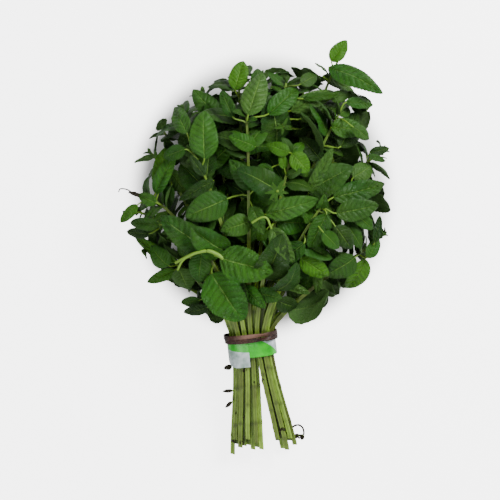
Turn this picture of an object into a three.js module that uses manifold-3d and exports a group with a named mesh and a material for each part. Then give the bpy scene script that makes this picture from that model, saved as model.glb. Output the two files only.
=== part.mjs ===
// A bunch of mint lying on its side, as it was set down: square leafy stems, gathered near their cut ends
// by a doubled rubber band over a wrapped label. Millimetres, +Z up, cut ends towards -Y, heads towards +Y.
import * as THREE from "three";
import { mergeVertices } from "three/addons/utils/BufferGeometryUtils.js";
import Module from "manifold-3d";

const wasm = await Module();
wasm.setup();

// Driving dimensions. Plan places are read in picture pixels, x to the right and y down, and plan() gives
// them their real size.
const PIXEL = 0.72; // millimetres of the bunch to one pixel
const PLAN_ZERO = [256, 250];
const HEAD_MIDDLE = plan(262, 188, 37); // the middle of the leafy head
const HEAD_RADII = new THREE.Vector3(92, 98, 37);
const TIE = plan(251, 338, 22); // the middle of the bundle where the band holds it
const CUT = plan(262, 444, 9.6); // the middle of the cut ends
const STEMWISE = TIE.clone().sub(CUT).normalize();
const STEM_PITCH = [4.5, 4.2]; // stem to stem at the band, across and up
const STEM_SIDE = 3.4; // across a square stem's flats at the band
const STEM_TIP_SIDE = 1.5;
const GAP = 0.35; // air between any two separate pieces
const CELL = 2; // the grid that tells whether a leaf has room

// Each row is one layer of stems, topmost first, and each stem is given by its growing tip:
// plan x, plan y, height in millimetres, and heading in degrees clockwise from +Y.
const TIP_ROWS = [
  [[176, 224, 50, -78], [192, 152, 60, -35], [246, 114, 63, -5], [292, 152, 64, 15], [322, 206, 58, 40]],
  [[148, 198, 44, -72], [184, 112, 46, -28], [238, 76, 44, -5], [286, 84, 47, 8], [340, 112, 48, 30], [354, 184, 48, 60]],
  [
    [131, 212, 38, -95], [152, 154, 36, -45], [204, 94, 34, -20], [262, 76, 32, 0], [341, 54, 36, 25],
    [382, 152, 36, 60], [382, 236, 32, 50],
  ],
  [[142, 252, 26, -112], [160, 126, 24, -35], [232, 86, 20, -8], [306, 78, 22, 10], [370, 106, 24, 40], [378, 194, 24, 75]],
  [[154, 282, 7, -125], [190, 120, 4, -25], [272, 96, 3, 3], [346, 124, 4, 32], [352, 284, 7, 120]],
];

// The leaves that lie on the head's upper face and round its outline, uppermost first:
// plan x and y of the blade's base, then of its tip, and the blade's width, in pixels.
const FACE_LEAVES = [
  [220, 257, 271, 275, 38], [212, 273, 238, 322, 42], [205, 160, 202, 116, 29], [308, 194, 333, 152, 14],
  [276, 222, 312, 224, 24], [271, 228, 291, 260, 18], [267, 229, 256, 243, 12], [205, 248, 162, 221, 29],
  [228, 199, 189, 216, 29], [265, 215, 314, 202, 22], [215, 181, 179, 200, 13], [205, 177, 190, 157, 10],
  [331, 62, 347, 40, 16], [328, 68, 379, 85, 24], [289, 154, 266, 145, 14], [291, 155, 309, 173, 19],
  [262, 137, 243, 124, 15], [284, 170, 281, 154, 9], [202, 254, 197, 285, 23], [176, 262, 129, 241, 14],
  [175, 270, 145, 284, 12], [179, 268, 187, 293, 24], [365, 259, 351, 296, 21], [367, 258, 382, 237, 14],
  [374, 243, 381, 216, 9], [377, 243, 397, 213, 9], [317, 258, 320, 298, 11], [314, 263, 304, 296, 14],
  [304, 243, 270, 270, 20], [270, 273, 308, 298, 12], [332, 198, 389, 184, 22], [335, 214, 378, 206, 22],
  [326, 214, 309, 249, 20], [355, 257, 327, 278, 26], [251, 221, 224, 231, 22], [248, 117, 263, 70, 25],
  [268, 116, 300, 86, 20], [235, 91, 243, 60, 19], [233, 119, 221, 90, 13], [219, 119, 194, 90, 22],
  [188, 135, 170, 101, 18], [206, 170, 234, 141, 18], [160, 190, 162, 146, 20], [156, 194, 170, 157, 16],
  [322, 77, 365, 89, 15], [345, 103, 378, 103, 12], [290, 112, 336, 88, 18], [300, 120, 348, 104, 16],
  [369, 153, 391, 148, 9], [367, 156, 388, 161, 7], [340, 148, 361, 108, 26], [138, 205, 118, 223, 11],
  [157, 203, 138, 196, 13], [160, 225, 128, 223, 13], [150, 234, 122, 233, 11], [277, 300, 299, 312, 19],
  [208, 307, 182, 316, 12], [169, 266, 149, 250, 22], [320, 160, 303, 139, 18], [240, 262, 216, 236, 20],
  [305, 190, 270, 176, 20], [352, 178, 376, 164, 20], [254, 190, 232, 164, 20], [330, 128, 366, 130, 20],
  [285, 132, 262, 104, 18], [256, 292, 280, 300, 16], [186, 150, 163, 158, 15], [200, 126, 178, 143, 16],
  [216, 130, 207, 104, 16], [256, 148, 232, 138, 17], [272, 168, 250, 182, 18], [222, 150, 246, 168, 16],
  [334, 226, 352, 250, 19], [300, 258, 331, 279, 20], [244, 286, 262, 309, 17], [345, 170, 365, 190, 17],
  [170, 170, 186, 196, 17], [190, 236, 178, 262, 16], [284, 240, 302, 262, 16], [252, 206, 262, 232, 16],
  [312, 120, 336, 130, 16], [270, 118, 250, 100, 14], [352, 128, 372, 140, 13], [200, 300, 180, 304, 12],
];

// The growth of one stem's own leaves, from the tip back: distance along the stem to each pair's joint
// and the blades' length there.
const PAIRS = [[3, 18], [11, 29], [21, 37], [33, 43], [48, 47], [65, 49], [84, 49], [105, 48], [128, 46]];
const BLADE_WIDTH = 0.6; // of its length
const PETIOLE = 1;
const PETIOLE_SEEN = 3; // from this length on a stalk is a piece of its own
const TRIES = 44; // ways a leaf may turn before it is left out
const SMALL_BLADE = 32; // blades shorter than this have one tooth a side

function plan(x, y, z = 0) {
  return new THREE.Vector3((x - PLAN_ZERO[0]) * PIXEL, (PLAN_ZERO[1] - y) * PIXEL, z);
}

// Seeded draws, so the bunch is the same every time.
let drawn = 7;
function draw(low, high) {
  drawn = (drawn * 1664525 + 1013904223) % 4294967296;
  return low + ((high - low) * drawn) / 4294967296;
}

function unit(x, y, z) {
  return new THREE.Vector3(x, y, z).normalize();
}

// What is left of a direction once its share along an axis is taken out, at unit length.
function square(direction, axis) {
  return direction.clone().addScaledVector(axis, -direction.dot(axis)).normalize();
}

// A smooth run from a to b, leaving along da and arriving along db.
function run(a, da, b, db, t) {
  const t2 = t * t;
  const t3 = t2 * t;
  return new THREE.Vector3()
    .addScaledVector(a, 2 * t3 - 3 * t2 + 1)
    .addScaledVector(da, t3 - 2 * t2 + t)
    .addScaledVector(b, 3 * t2 - 2 * t3)
    .addScaledVector(db, t3 - t2);
}

// What hangs lower than this is laid out along the table instead of going through it.
const TABLE_SOFTNESS = 2.5;
const LYING = 0.1; // the least height of a blade's middle layer
function onTable(point) {
  const over = (point.z - LYING) / TABLE_SOFTNESS;
  if (over < 1) point.z = LYING + TABLE_SOFTNESS * Math.exp(over - 1);
  return point;
}

// The outward direction of the head's rounded form at a place.
function outward(point) {
  const out = point.clone().sub(HEAD_MIDDLE).divide(HEAD_RADII).divide(HEAD_RADII);
  return out.normalize();
}

// How far out a place is: 1 on the head's rounded form.
function reach(point) {
  return point.clone().sub(HEAD_MIDDLE).divide(HEAD_RADII).length();
}

// Stems: each runs straight from its cut end to its place in the bundle, then fans out to its tip.
const CUT_SPREAD = 1.35;
const CUT_SLANT = 0.5; // each end is cut a little aslant
const CUT_PARTING = [-3.8, 5.6]; // the cut ends part to both sides of a gap, right of the middle
const LONG_END = 8; // how much longer the leftmost stem of the middle layer was cut
const TIE_LEAN = -0.12;
const TIE_CLIMB = 0.13;
const TIP_SINK = -0.15;
const FAN = [0.05, 0.03]; // how steeply the outermost stems part at the band, across and up
const STEM_STATIONS = [0, 0.5, 0.96, 1.04, 1.13, 1.24, 1.36, 1.48, 1.6, 1.72, 1.84, 1.93, 2];

function makeStem(row, column) {
  const tips = TIP_ROWS[row];
  const [x, y, z, towards] = tips[column];
  const across = (column - (tips.length - 1) / 2) * STEM_PITCH[0];
  const up = ((TIP_ROWS.length - 1) / 2 - row) * STEM_PITCH[1];
  const tie = TIE.clone().add(new THREE.Vector3(across, 0, up));
  const parting = CUT_PARTING[across > 3 ? 1 : 0];
  const cut = CUT.clone().add(new THREE.Vector3(across * CUT_SPREAD + parting, 0, up));
  cut.addScaledVector(STEMWISE, draw(-5, 4) - (row === 2 && column === 0 ? LONG_END : 0));
  const tip = plan(x, y, z);
  const turn = (towards * Math.PI) / 180;
  const leave = unit(TIE_LEAN + (FAN[0] * across) / 15, 1, TIE_CLIMB + (FAN[1] * up) / 9);
  const height = tip.distanceTo(tie);
  return {
    row, column, tie, cut, tip,
    rise: cut.clone().sub(tie).negate(),
    leave,
    below: leave.clone().multiplyScalar(tie.distanceTo(cut)),
    above: leave.clone().multiplyScalar(height * 0.5),
    arrive: unit(Math.sin(turn), Math.cos(turn), TIP_SINK).multiplyScalar(height * 0.8),
  };
}

// A place on a stem: 0 at the cut, 1 at the band, 2 at the tip.
function along(stem, s) {
  if (s <= 1) return run(stem.cut, stem.rise, stem.tie, stem.below, s);
  return onTable(run(stem.tie, stem.above, stem.tip, stem.arrive, s - 1));
}

// The same place on the stem's faceted body, where a leaf is joined.
function joint(stem, s) {
  const i = Math.max(1, STEM_STATIONS.findIndex((station) => station >= s));
  const [a, b] = [STEM_STATIONS[i - 1], STEM_STATIONS[i]];
  return along(stem, a).lerp(along(stem, b), (s - a) / (b - a));
}

function heading(stem, s) {
  const step = 0.002;
  const from = along(stem, Math.max(0, s - step));
  return along(stem, Math.min(2, s + step)).sub(from).normalize();
}

// The place s that lies a given distance back from the tip.
function backFromTip(stem, distance) {
  const steps = 160;
  let gone = 0;
  let last = along(stem, 2);
  for (let i = 1; i <= steps; i++) {
    const s = 2 - i / steps;
    const here = along(stem, s);
    gone += here.distanceTo(last);
    if (gone >= distance) return s;
    last = here;
  }
  return 1;
}

// Leaves: a blade bends back along its length, is folded up along its midrib and curls down at its rims.
function leafPoint(leaf, u, v, off = 0) {
  const turn = leaf.bend * v;
  const away = (leaf.length * Math.sin(turn)) / leaf.bend;
  const drop = (leaf.length * (1 - Math.cos(turn))) / leaf.bend;
  const half = leaf.half * Math.pow(Math.sin(Math.PI * Math.pow(v, 0.72)), 0.85);
  const up = leaf.facing.clone().multiplyScalar(Math.cos(turn)).addScaledVector(leaf.along, Math.sin(turn));
  const twist = leaf.twist * v;
  const side = leaf.side.clone().multiplyScalar(Math.cos(twist)).addScaledVector(up, Math.sin(twist));
  up.multiplyScalar(Math.cos(twist)).addScaledVector(leaf.side, -Math.sin(twist));
  const lift = half * (leaf.fold * Math.abs(u) - leaf.curl * u * u) + off;
  const point = leaf.base.clone().addScaledVector(leaf.along, away).addScaledVector(leaf.facing, -drop);
  return point.addScaledVector(side, half * u).addScaledVector(up, lift);
}

function makeLeaf(stem, s, base, direction, facing, length, width, shape) {
  const normal = square(facing, direction);
  return {
    stem, s, base, length, half: width / 2, root: along(stem, s),
    along: direction, facing: normal, side: new THREE.Vector3().crossVectors(direction, normal),
    ...shape,
  };
}

// The grid of cells that stems and leaves fill as they are placed.
const GRID_LOW = new THREE.Vector3(-130, -170, -4);
const GRID_SIZE = [130, 170, 52];
const filled = new Uint8Array(GRID_SIZE[0] * GRID_SIZE[1] * GRID_SIZE[2]);

function cellOf(point) {
  const i = Math.floor((point.x - GRID_LOW.x) / CELL);
  const j = Math.floor((point.y - GRID_LOW.y) / CELL);
  const k = Math.floor((point.z - GRID_LOW.z) / CELL);
  return (i * GRID_SIZE[1] + j) * GRID_SIZE[2] + k;
}

// The places that stand for a leaf in the grid, away from where it joins its stem.
const PROBES = [9, 17];
const OWN_ROOM = 5;
function probes(leaf) {
  const places = [];
  for (let i = 0; i <= PROBES[0]; i++)
    for (let j = 0; j <= PROBES[1]; j++)
      places.push(onTable(leafPoint(leaf, (2 * i) / PROBES[0] - 1, j / PROBES[1])));
  const stalk = leaf.base.clone().sub(leaf.root);
  for (let j = 0; j <= PROBES[1]; j++) places.push(leaf.root.clone().addScaledVector(stalk, j / PROBES[1]));
  return places.filter((p) => p.distanceTo(leaf.root) > OWN_ROOM);
}

// The first of a leaf's possible poses that meets nothing, or else the one that meets least.
function settle(poses, mayMeet) {
  let best = null;
  let fewest = mayMeet;
  for (const leaf of poses) {
    const places = probes(leaf);
    const met = places.reduce((sum, p) => sum + filled[cellOf(p)], 0);
    if (met <= fewest) {
      best = leaf;
      fewest = met - 1;
    }
    if (met === 0) break;
  }
  if (best) for (const p of probes(best)) filled[cellOf(p)] = 1;
  return best;
}

// A face leaf keeps its plan place. It grows from the uppermost stem within reach that leaves it room.
const FACE_REACH = 12;
const FACE_BEHIND = 5; // a root is looked for this far behind the base
const FACE_RISES = [1.5, 4, 7, 10]; // of the blade's base over its stem
const FACE_PITCHES = [0, 0.15, -0.15, 0.3, -0.3, 0.5, -0.5]; // of the blade, over the head's own slope
function* facePoses(stems, [bx, by, tx, ty, width]) {
  const shape = { bend: draw(0.25, 0.75), fold: draw(0.05, 0.35), curl: draw(0.05, 0.3), twist: draw(-0.25, 0.25) };
  const ends = [plan(bx, by), plan(tx, ty)];
  const domes = ends.map((end) => {
    const flat = end.clone().sub(HEAD_MIDDLE).divide(HEAD_RADII).setZ(0);
    return Math.sqrt(Math.max(0, 1 - flat.lengthSq())) * HEAD_RADII.z;
  });
  const slope = (DOME_SHARE * (domes[1] - domes[0])) / ends[0].distanceTo(ends[1]);
  const towards = ends[1].clone().sub(ends[0]).normalize();
  const behind = ends[0].clone().addScaledVector(towards, -FACE_BEHIND);
  const found = stems.map((stem) => nearest(stem, behind)).sort((a, b) => a.far - b.far);
  const close = found.filter((root) => root.far < FACE_REACH);
  const roots = close.length ? close.sort((a, b) => b.point.z - b.far - (a.point.z - a.far)) : found.slice(0, 2);
  for (const { stem, s, point } of roots)
    for (const rise of FACE_RISES)
      for (const pitch of FACE_PITCHES) {
        const base = ends[0].clone().setZ(point.z + rise);
        const tip = ends[1].clone().setZ(base.z + (slope + pitch) * ends[0].distanceTo(ends[1]));
        const direction = tip.sub(base);
        const length = direction.length();
        direction.normalize();
        const out = outward(base).setZ(0).multiplyScalar(0.4).add(new THREE.Vector3(0, 0, 0.8));
        yield makeLeaf(stem, s, base, direction, out, length, width * PIXEL, shape);
      }
}

// The place on a stem that is nearest to a base in plan.
const DOME_SHARE = 0.5;
function nearest(stem, base) {
  let best = { far: Infinity };
  for (let s = 1.06; s <= 1.985; s += 0.015) {
    const point = along(stem, s);
    const far = Math.hypot(point.x - base.x, point.y - base.y);
    if (far < best.far) best = { stem, s, point, far };
  }
  return best;
}

// A stem's own leaves stand in crossed pairs, turned as they find room.
function* ownPoses(stem, distance, blade, turn) {
  const s = backFromTip(stem, distance);
  const root = along(stem, s);
  if (root.y < LOWEST_LEAF) return;
  const forward = heading(stem, s);
  const out = square(outward(root), forward);
  const side = new THREE.Vector3().crossVectors(forward, out);
  for (let attempt = 0; attempt < TRIES; attempt++) {
    const freedom = attempt / TRIES;
    const around = turn + draw(-1.2, 1.2) * freedom;
    const open = draw(0.55, 0.95) + draw(-0.4, 0.7) * freedom;
    const size = 1 - 0.42 * freedom;
    const width = BLADE_WIDTH * draw(0.9, 1.08);
    const lean = draw(0.4, 1);
    const shape = { bend: draw(0.2, 1.0), fold: draw(0.05, 0.45), curl: draw(0.05, 0.3), twist: draw(-0.4, 0.4) };
    const spread = out.clone().multiplyScalar(Math.cos(around)).addScaledVector(side, Math.sin(around));
    const direction = forward.clone().multiplyScalar(Math.cos(open)).addScaledVector(spread, Math.sin(open));
    direction.normalize();
    const facing = forward.clone().multiplyScalar(1 - lean).addScaledVector(outward(root), lean);
    const base = root.clone().addScaledVector(direction, PETIOLE * size);
    const length = blade * size;
    const leaf = makeLeaf(stem, s, base, direction, facing, length, length * width, shape);
    if (staysInHead(leaf)) yield leaf;
  }
}

const OUTER_LIMIT = 1.04;
const LOWEST_LEAF = plan(0, 322).y; // a stem's own leaves stay above the bare part of the bundle
function staysInHead(leaf) {
  const tip = leafPoint(leaf, 0, 1);
  return reach(tip) < OUTER_LIMIT && tip.y > LOWEST_LEAF;
}

// Closed meshes from rings of points, each ring with as many points as the next.
function skin(rings, closed) {
  const sides = rings[0].length;
  const points = rings.flat();
  const faces = [];
  const count = closed ? rings.length : rings.length - 1;
  for (let i = 0; i < count; i++)
    for (let j = 0; j < sides; j++) {
      const next = (i + 1) % rings.length;
      const [a, b] = [i * sides + j, i * sides + ((j + 1) % sides)];
      const [c, d] = [next * sides + ((j + 1) % sides), next * sides + j];
      if (2 * j < sides) faces.push([a, b, c], [a, c, d]);
      else faces.push([a, b, d], [b, c, d]); // opposite sides are split alike
    }
  if (!closed)
    for (let j = 1; j < sides - 1; j++) {
      const last = (rings.length - 1) * sides;
      faces.push([0, j + 1, j], [last, last + j, last + j + 1]);
    }
  return solid(points, faces);
}

// A solid of manifold-3d, turned right way out if its faces run the other way.
function solid(points, faces) {
  const position = new THREE.Float32BufferAttribute(points.flatMap((p) => [p.x, p.y, p.z]), 3);
  const geometry = new THREE.BufferGeometry().setAttribute("position", position).setIndex(faces.flat());
  const merged = mergeVertices(geometry, 1e-4);
  const make = (triVerts) =>
    new wasm.Manifold(new wasm.Mesh({ numProp: 3, vertProperties: merged.attributes.position.array, triVerts }));
  const made = make(new Uint32Array(merged.index.array));
  if (made.volume() > 0) return made;
  return make(new Uint32Array(merged.index.array).reverse());
}

function geometryOf(body) {
  const { numProp, vertProperties, triVerts } = body.getMesh();
  const position = new Float32Array((vertProperties.length / numProp) * 3);
  for (let i = 0; i < position.length / 3; i++)
    position.set(vertProperties.subarray(i * numProp, i * numProp + 3), i * 3);
  const geometry = new THREE.BufferGeometry().setAttribute("position", new THREE.BufferAttribute(position, 3));
  geometry.setIndex(new THREE.BufferAttribute(new Uint32Array(triVerts), 1));
  geometry.computeVertexNormals();
  return geometry;
}

// One square stem. grow widens it all round, for cutting room in its neighbours.
function stemBody(stem, grow = 0) {
  const rings = [];
  for (const s of STEM_STATIONS) {
    const forward = heading(stem, s);
    const across = square(new THREE.Vector3(1, 0, 0), forward);
    const up = new THREE.Vector3().crossVectors(across, forward);
    const slim = Math.max(0, s - 1.2) / 0.8;
    const half = (STEM_SIDE + (STEM_TIP_SIDE - STEM_SIDE) * slim) / 2 + grow;
    const middle = along(stem, s);
    const ring = [];
    for (const [x, y] of [[-1, -1], [1, -1], [1, 1], [-1, 1]])
      ring.push(middle.clone().addScaledVector(across, x * half).addScaledVector(up, y * half));
    if (s === 0) ring.forEach((corner, i) => corner.addScaledVector(STEMWISE, CUT_SLANT * (i % 3 === 0 ? 1 : -1)));
    rings.push(ring);
  }
  return skin(rings, false);
}

// A blade is thickest along its midrib and comes to an edge at its toothed rim: each side is a list of
// places along the blade and how far out the rim stands there.
const TOOTHED = [[0.1, 1.02], [0.3, 1.03], [0.52, 1.05], [0.58, 0.94], [0.83, 1.14]];
const PLAIN = [[0.2, 1.04], [0.66, 1.1]];
const HIDDEN_ROW = 1; // blades of stems below this row are plain too
const MIDRIB_HALF = 0.65;
const STALK_HALF = 0.8;
function leafBody(leaf, grow = 0) {
  const small = leaf.length < SMALL_BLADE || leaf.stem.row > HIDDEN_ROW;
  const stalked = leaf.base.distanceTo(leaf.root) > PETIOLE_SEEN;
  const points = [];
  const put = (point) => points.push(point) - 1;
  const beside = (from, direction, out) => put(onTable(from.clone()).addScaledVector(direction, out));
  const thick = MIDRIB_HALF + grow;
  const stalk = STALK_HALF + grow;
  const root = joint(leaf.stem, leaf.s);
  const towards = leaf.base.clone().sub(root).normalize();
  const turned = leaf.along.clone().add(towards).normalize();
  const ends = stalked ? [[root, towards], [leaf.base, turned]] : [[root.clone().addScaledVector(leaf.along, -grow), leaf.along]];
  const frames = ends.map(([end, forward]) => {
    const side = square(leaf.side, forward);
    return { end, side, facing: new THREE.Vector3().crossVectors(side, forward) };
  });
  const pointed = !stalked && grow === 0; // a blade without a stalk starts in one point inside its stem
  const start = pointed ? [put(root)] : null;
  const sides = [-1, 1].map((sign) => {
    const list = start ? [...start] : frames.map((frame) => beside(frame.end, frame.side, sign * stalk));
    for (const [v, out] of small ? PLAIN : TOOTHED) {
      const widened = out + grow / (leaf.half * Math.sin(Math.PI * Math.pow(v, 0.72)));
      list.push(put(onTable(leafPoint(leaf, sign * widened, v))));
    }
    return list;
  });
  const tip = put(onTable(leafPoint(leaf, 0, 1).addScaledVector(leaf.along, grow)));
  const spines = [1, -1].map((sign) => {
    const list = start ? [...start] : frames.map((frame) => beside(frame.end, frame.facing, sign * stalk));
    for (const v of small ? [0.3] : [0.2, 0.55]) list.push(beside(leafPoint(leaf, 0, v), leaf.facing, sign * thick));
    return [...list, tip];
  });
  const faces = [];
  spines.forEach((spine, below) => {
    sides.forEach((rimSide, right) => {
      const flip = (below + right) % 2 === 1;
      for (const [a, b, c] of zip(spine, [...rimSide, tip])) faces.push(flip ? [a, c, b] : [a, b, c]);
    });
  });
  if (!start) faces.push([sides[0][0], spines[0][0], sides[1][0]], [sides[0][0], sides[1][0], spines[1][0]]);
  return solid(points, faces);
}

// Triangles between a spine and a rim that start side by side, or in one point, and end in one point.
function zip(spine, rim) {
  const faces = [];
  let i = 0;
  let j = 0;
  while (i < spine.length - 1 || j < rim.length - 1) {
    const spineFirst = (i + 0.4) / (spine.length - 1) < j / (rim.length - 1);
    const onSpine = j === rim.length - 1 || (i < spine.length - 1 && spineFirst);
    const face = [spine[i], rim[j], onSpine ? spine[i + 1] : rim[j + 1]];
    if (new Set(face).size === 3) faces.push(face);
    if (onSpine) i++;
    else j++;
  }
  return faces;
}

// The doubled rubber band: one closed loop that goes round twice, its turns side by side, and crosses
// itself once on top.
const BAND_TILT = 0.12; // it climbs to the right
const BAND_RADII = [17.8, 13.9];
const BAND_SHIFT = 1.4; // it sits this far above the middle of the tie
const BAND_SQUARENESS = 2.9; // 2 is an ellipse
const BAND_STRAND = [1.35, 0.55]; // half of a strand's width along the stems, and half of its thickness
const STRANDS_APART = 1.6;
const BAND_STEPS = 44;
const CROSSING = 1.25; // radians round from +X to the crossing
function ringOut(angle, radii) {
  const power = 2 - 2 / BAND_SQUARENESS;
  const [c, s] = [Math.cos(angle), Math.sin(angle)];
  return unit((Math.sign(c) * Math.abs(c) ** power) / radii[0], 0, (Math.sign(s) * Math.abs(s) ** power) / radii[1]);
}

// A place on the ring round the bundle, shifted along the stems from the band's middle.
function ringPoint(angle, radii, shift) {
  const power = 2 / BAND_SQUARENESS;
  const [c, s] = [Math.cos(angle), Math.sin(angle)];
  const x = Math.sign(c) * Math.abs(c) ** power * radii[0];
  const z = Math.sign(s) * Math.abs(s) ** power * radii[1];
  return TIE.clone().add(new THREE.Vector3(x, x * BAND_TILT - z * TIE_CLIMB, z)).addScaledVector(STEMWISE, shift);
}

function rubberBand() {
  const rings = [];
  for (let i = 0; i < BAND_STEPS; i++) {
    const turn = (i / BAND_STEPS) * 4 * Math.PI;
    const half = (turn - CROSSING) / 2;
    const bite = Math.pow(Math.abs(Math.sin(half)), 5) * Math.sign(Math.sin(half));
    const apart = Math.cos(half) * Math.pow(Math.abs(Math.cos(half)), -0.45);
    const out = ringOut(turn, BAND_RADII);
    const centre = ringPoint(turn, BAND_RADII, BAND_SHIFT + apart * STRANDS_APART).addScaledVector(out, 0.85 + 0.85 * bite);
    rings.push(
      [[-1, -1], [1, -1], [1, 1], [-1, 1]].map(([x, y]) =>
        centre.clone().addScaledVector(STEMWISE, x * BAND_STRAND[0]).addScaledVector(out, y * BAND_STRAND[1]),
      ),
    );
  }
  return skin(rings, true);
}

// The label: a strip wrapped round the bundle below the band. Its outer end is wider, hangs lower on the
// left, and laps over the inner end on top.
const LABEL_WIDTHS = [11, 17.6];
const LABEL_RADII = [17, 12.7];
const LABEL_THICKNESS = 0.6;
const LABEL_LAP = 0.95; // radially, from one layer to the next
const LABEL_ANGLES = [2.2, -4.66]; // from the inner end to the outer end, radians round from +X
const LABEL_STEPS = 34;
const LABEL_TOP = -1.7;
function label() {
  const rings = [];
  for (let i = 0; i <= LABEL_STEPS; i++) {
    const share = i / LABEL_STEPS;
    const angle = LABEL_ANGLES[0] + (LABEL_ANGLES[1] - LABEL_ANGLES[0]) * share;
    const lap = LABEL_LAP * THREE.MathUtils.smoothstep(share, 0.79, 0.89);
    const width = THREE.MathUtils.lerp(...LABEL_WIDTHS, THREE.MathUtils.smoothstep(share, 0.77, 0.92));
    const out = ringOut(angle, LABEL_RADII);
    const top = ringPoint(angle, LABEL_RADII, LABEL_TOP).addScaledVector(out, lap);
    const low = ringPoint(angle, LABEL_RADII, LABEL_TOP - width).addScaledVector(out, lap);
    rings.push([
      low.clone(), top.clone(),
      top.clone().addScaledVector(out, LABEL_THICKNESS), low.clone().addScaledVector(out, LABEL_THICKNESS),
    ]);
  }
  return skin(rings, false);
}

const stems = TIP_ROWS.flatMap((tips, row) => tips.map((_, column) => makeStem(row, column)));
for (const stem of stems)
  for (let s = 1; s <= 2; s += 0.004)
    for (const x of [-1, 1])
      for (const z of [-1, 1]) filled[cellOf(along(stem, s).add(new THREE.Vector3(x, 0, z)))] = 1;

const leaves = [];
for (const entry of FACE_LEAVES) {
  const leaf = settle(facePoses(stems, entry), 12);
  if (leaf) leaves.push(leaf);
}
PAIRS.forEach(([distance, blade], pair) => {
  for (const stem of stems) {
    const turn = draw(0, Math.PI) + (pair % 2) * 1.57;
    const back = distance * draw(0.9, 1.15);
    for (const half of [0, Math.PI]) {
      const leaf = settle(ownPoses(stem, back, blade * draw(0.88, 1.08), turn + half), 3);
      if (leaf) leaves.push(leaf);
    }
  }
});

const group = new THREE.Group();
const STEM_GREEN = new THREE.MeshStandardMaterial({ color: 0x3f6b2c, roughness: 0.6, metalness: 0 });
const RUBBER = new THREE.MeshStandardMaterial({ color: 0x3b1f1c, roughness: 0.5, metalness: 0 });
const LABEL_GREEN = new THREE.MeshStandardMaterial({ color: 0x3fb52f, roughness: 0.35, metalness: 0 });

// What meets the table is pressed flat on it.
const TABLE_TOP = 0.9;
const TABLE = new THREE.BoxGeometry(500, 500, 20).translate(0, 0, TABLE_TOP - 10);
const table = solid(pointsOf(TABLE), facesOf(TABLE));
function pointsOf(geometry) {
  const { position } = geometry.attributes;
  return Array.from({ length: position.count }, (_, i) => new THREE.Vector3().fromBufferAttribute(position, i));
}
function facesOf(geometry) {
  const index = Array.from(geometry.index.array);
  return Array.from({ length: index.length / 3 }, (_, i) => index.slice(3 * i, 3 * i + 3));
}

// The largest body of a solid, as coarse as a mesh holds it.
const EVENNESS = 0.03;
function largest(body) {
  const whole = (b) => b.decompose().sort((p, q) => q.volume() - p.volume())[0];
  const even = geometryOf(whole(body).simplify(EVENNESS));
  return whole(solid(pointsOf(even), facesOf(even)));
}

function hasDoubleEdge(body) {
  const { index } = mergeVertices(geometryOf(body).deleteAttribute("normal"), 2e-3);
  const used = new Map();
  for (const [a, b, c] of facesOf({ index }))
    for (const [p, q] of [[a, b], [b, c], [c, a]]) {
      const key = Math.min(p, q) * 1e6 + Math.max(p, q);
      used.set(key, (used.get(key) ?? 0) + 1);
    }
  return [...used.values()].some((times) => times !== 2);
}

function addMesh(name, body, material) {
  const mesh = new THREE.Mesh(geometryOf(body), material);
  mesh.name = name;
  group.add(mesh);
}

// Stems keep their whole form; a blade gives way to every other stem, and to the leaves of earlier stems.
const stemBodies = stems.map((stem) => stemBody(stem));
const stemRoom = stems.map((stem) => stemBody(stem, GAP));
const leafRoom = stems.map(() => []);
const near = (a, b) => {
  const [p, q] = [a.boundingBox(), b.boundingBox()];
  return [0, 1, 2].every((i) => p.min[i] <= q.max[i] && q.min[i] <= p.max[i]);
};
const HAIRS = [0, 0.04, 0.08, 0.12, 0.16, 0.2]; // a blade whose edge would lie along another is moved a hair
const nodes = [];
const SHIFTS = [0, -0.12, 0.12, -0.24, 0.24].flatMap((by) => [[by, 0, 0], [0, by, 0], [0, 0, by]]);
stems.forEach((stem, index) => {
  const others = [...stemRoom.filter((_, i) => i !== index), ...leafRoom.slice(0, index).flat()];
  let whole = stemBodies[index].subtract(table);
  for (const leaf of leaves.filter((one) => one.stem === stem))
    for (const hair of HAIRS) {
      const shift = [hair, 0.6 * hair, -0.4 * hair];
      let blade = leafBody(leaf).translate(shift).subtract(table);
      for (const other of others)
        if (near(blade, other)) blade = blade.subtract(other);
      const joined = whole.add(blade);
      if (hasDoubleEdge(largest(joined))) continue;
      whole = joined;
      leafRoom[index].push(leafBody(leaf, GAP).translate(shift));
      break;
    }
  for (const node of nodes)
    if (!whole.intersect(node).isEmpty())
      for (const shift of SHIFTS) whole = whole.subtract(node.translate(shift));
  nodes.push(largest(whole));
  addMesh(`mint_stem_${String(index + 1).padStart(2, "0")}`, nodes[index], STEM_GREEN);
});
addMesh("rubber_band", largest(rubberBand().subtract(table)), RUBBER);
addMesh("label", largest(label().subtract(table)), LABEL_GREEN);

// The bunch stands with the middle of its box over the origin and its lowest points at zero.
const box = new THREE.Box3().setFromObject(group);
const middle = box.getCenter(new THREE.Vector3()).setZ(box.min.z);
for (const mesh of group.children) mesh.geometry.translate(-middle.x, -middle.y, -middle.z);

export default group;
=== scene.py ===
"""A tied bunch of mint lying on a white table, seen straight from above: square leafy stems, gathered near
their cut ends by a doubled rubber band over a wrapped label. Lengths are in millimetres until a mesh is made."""

import math
from types import SimpleNamespace

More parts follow.
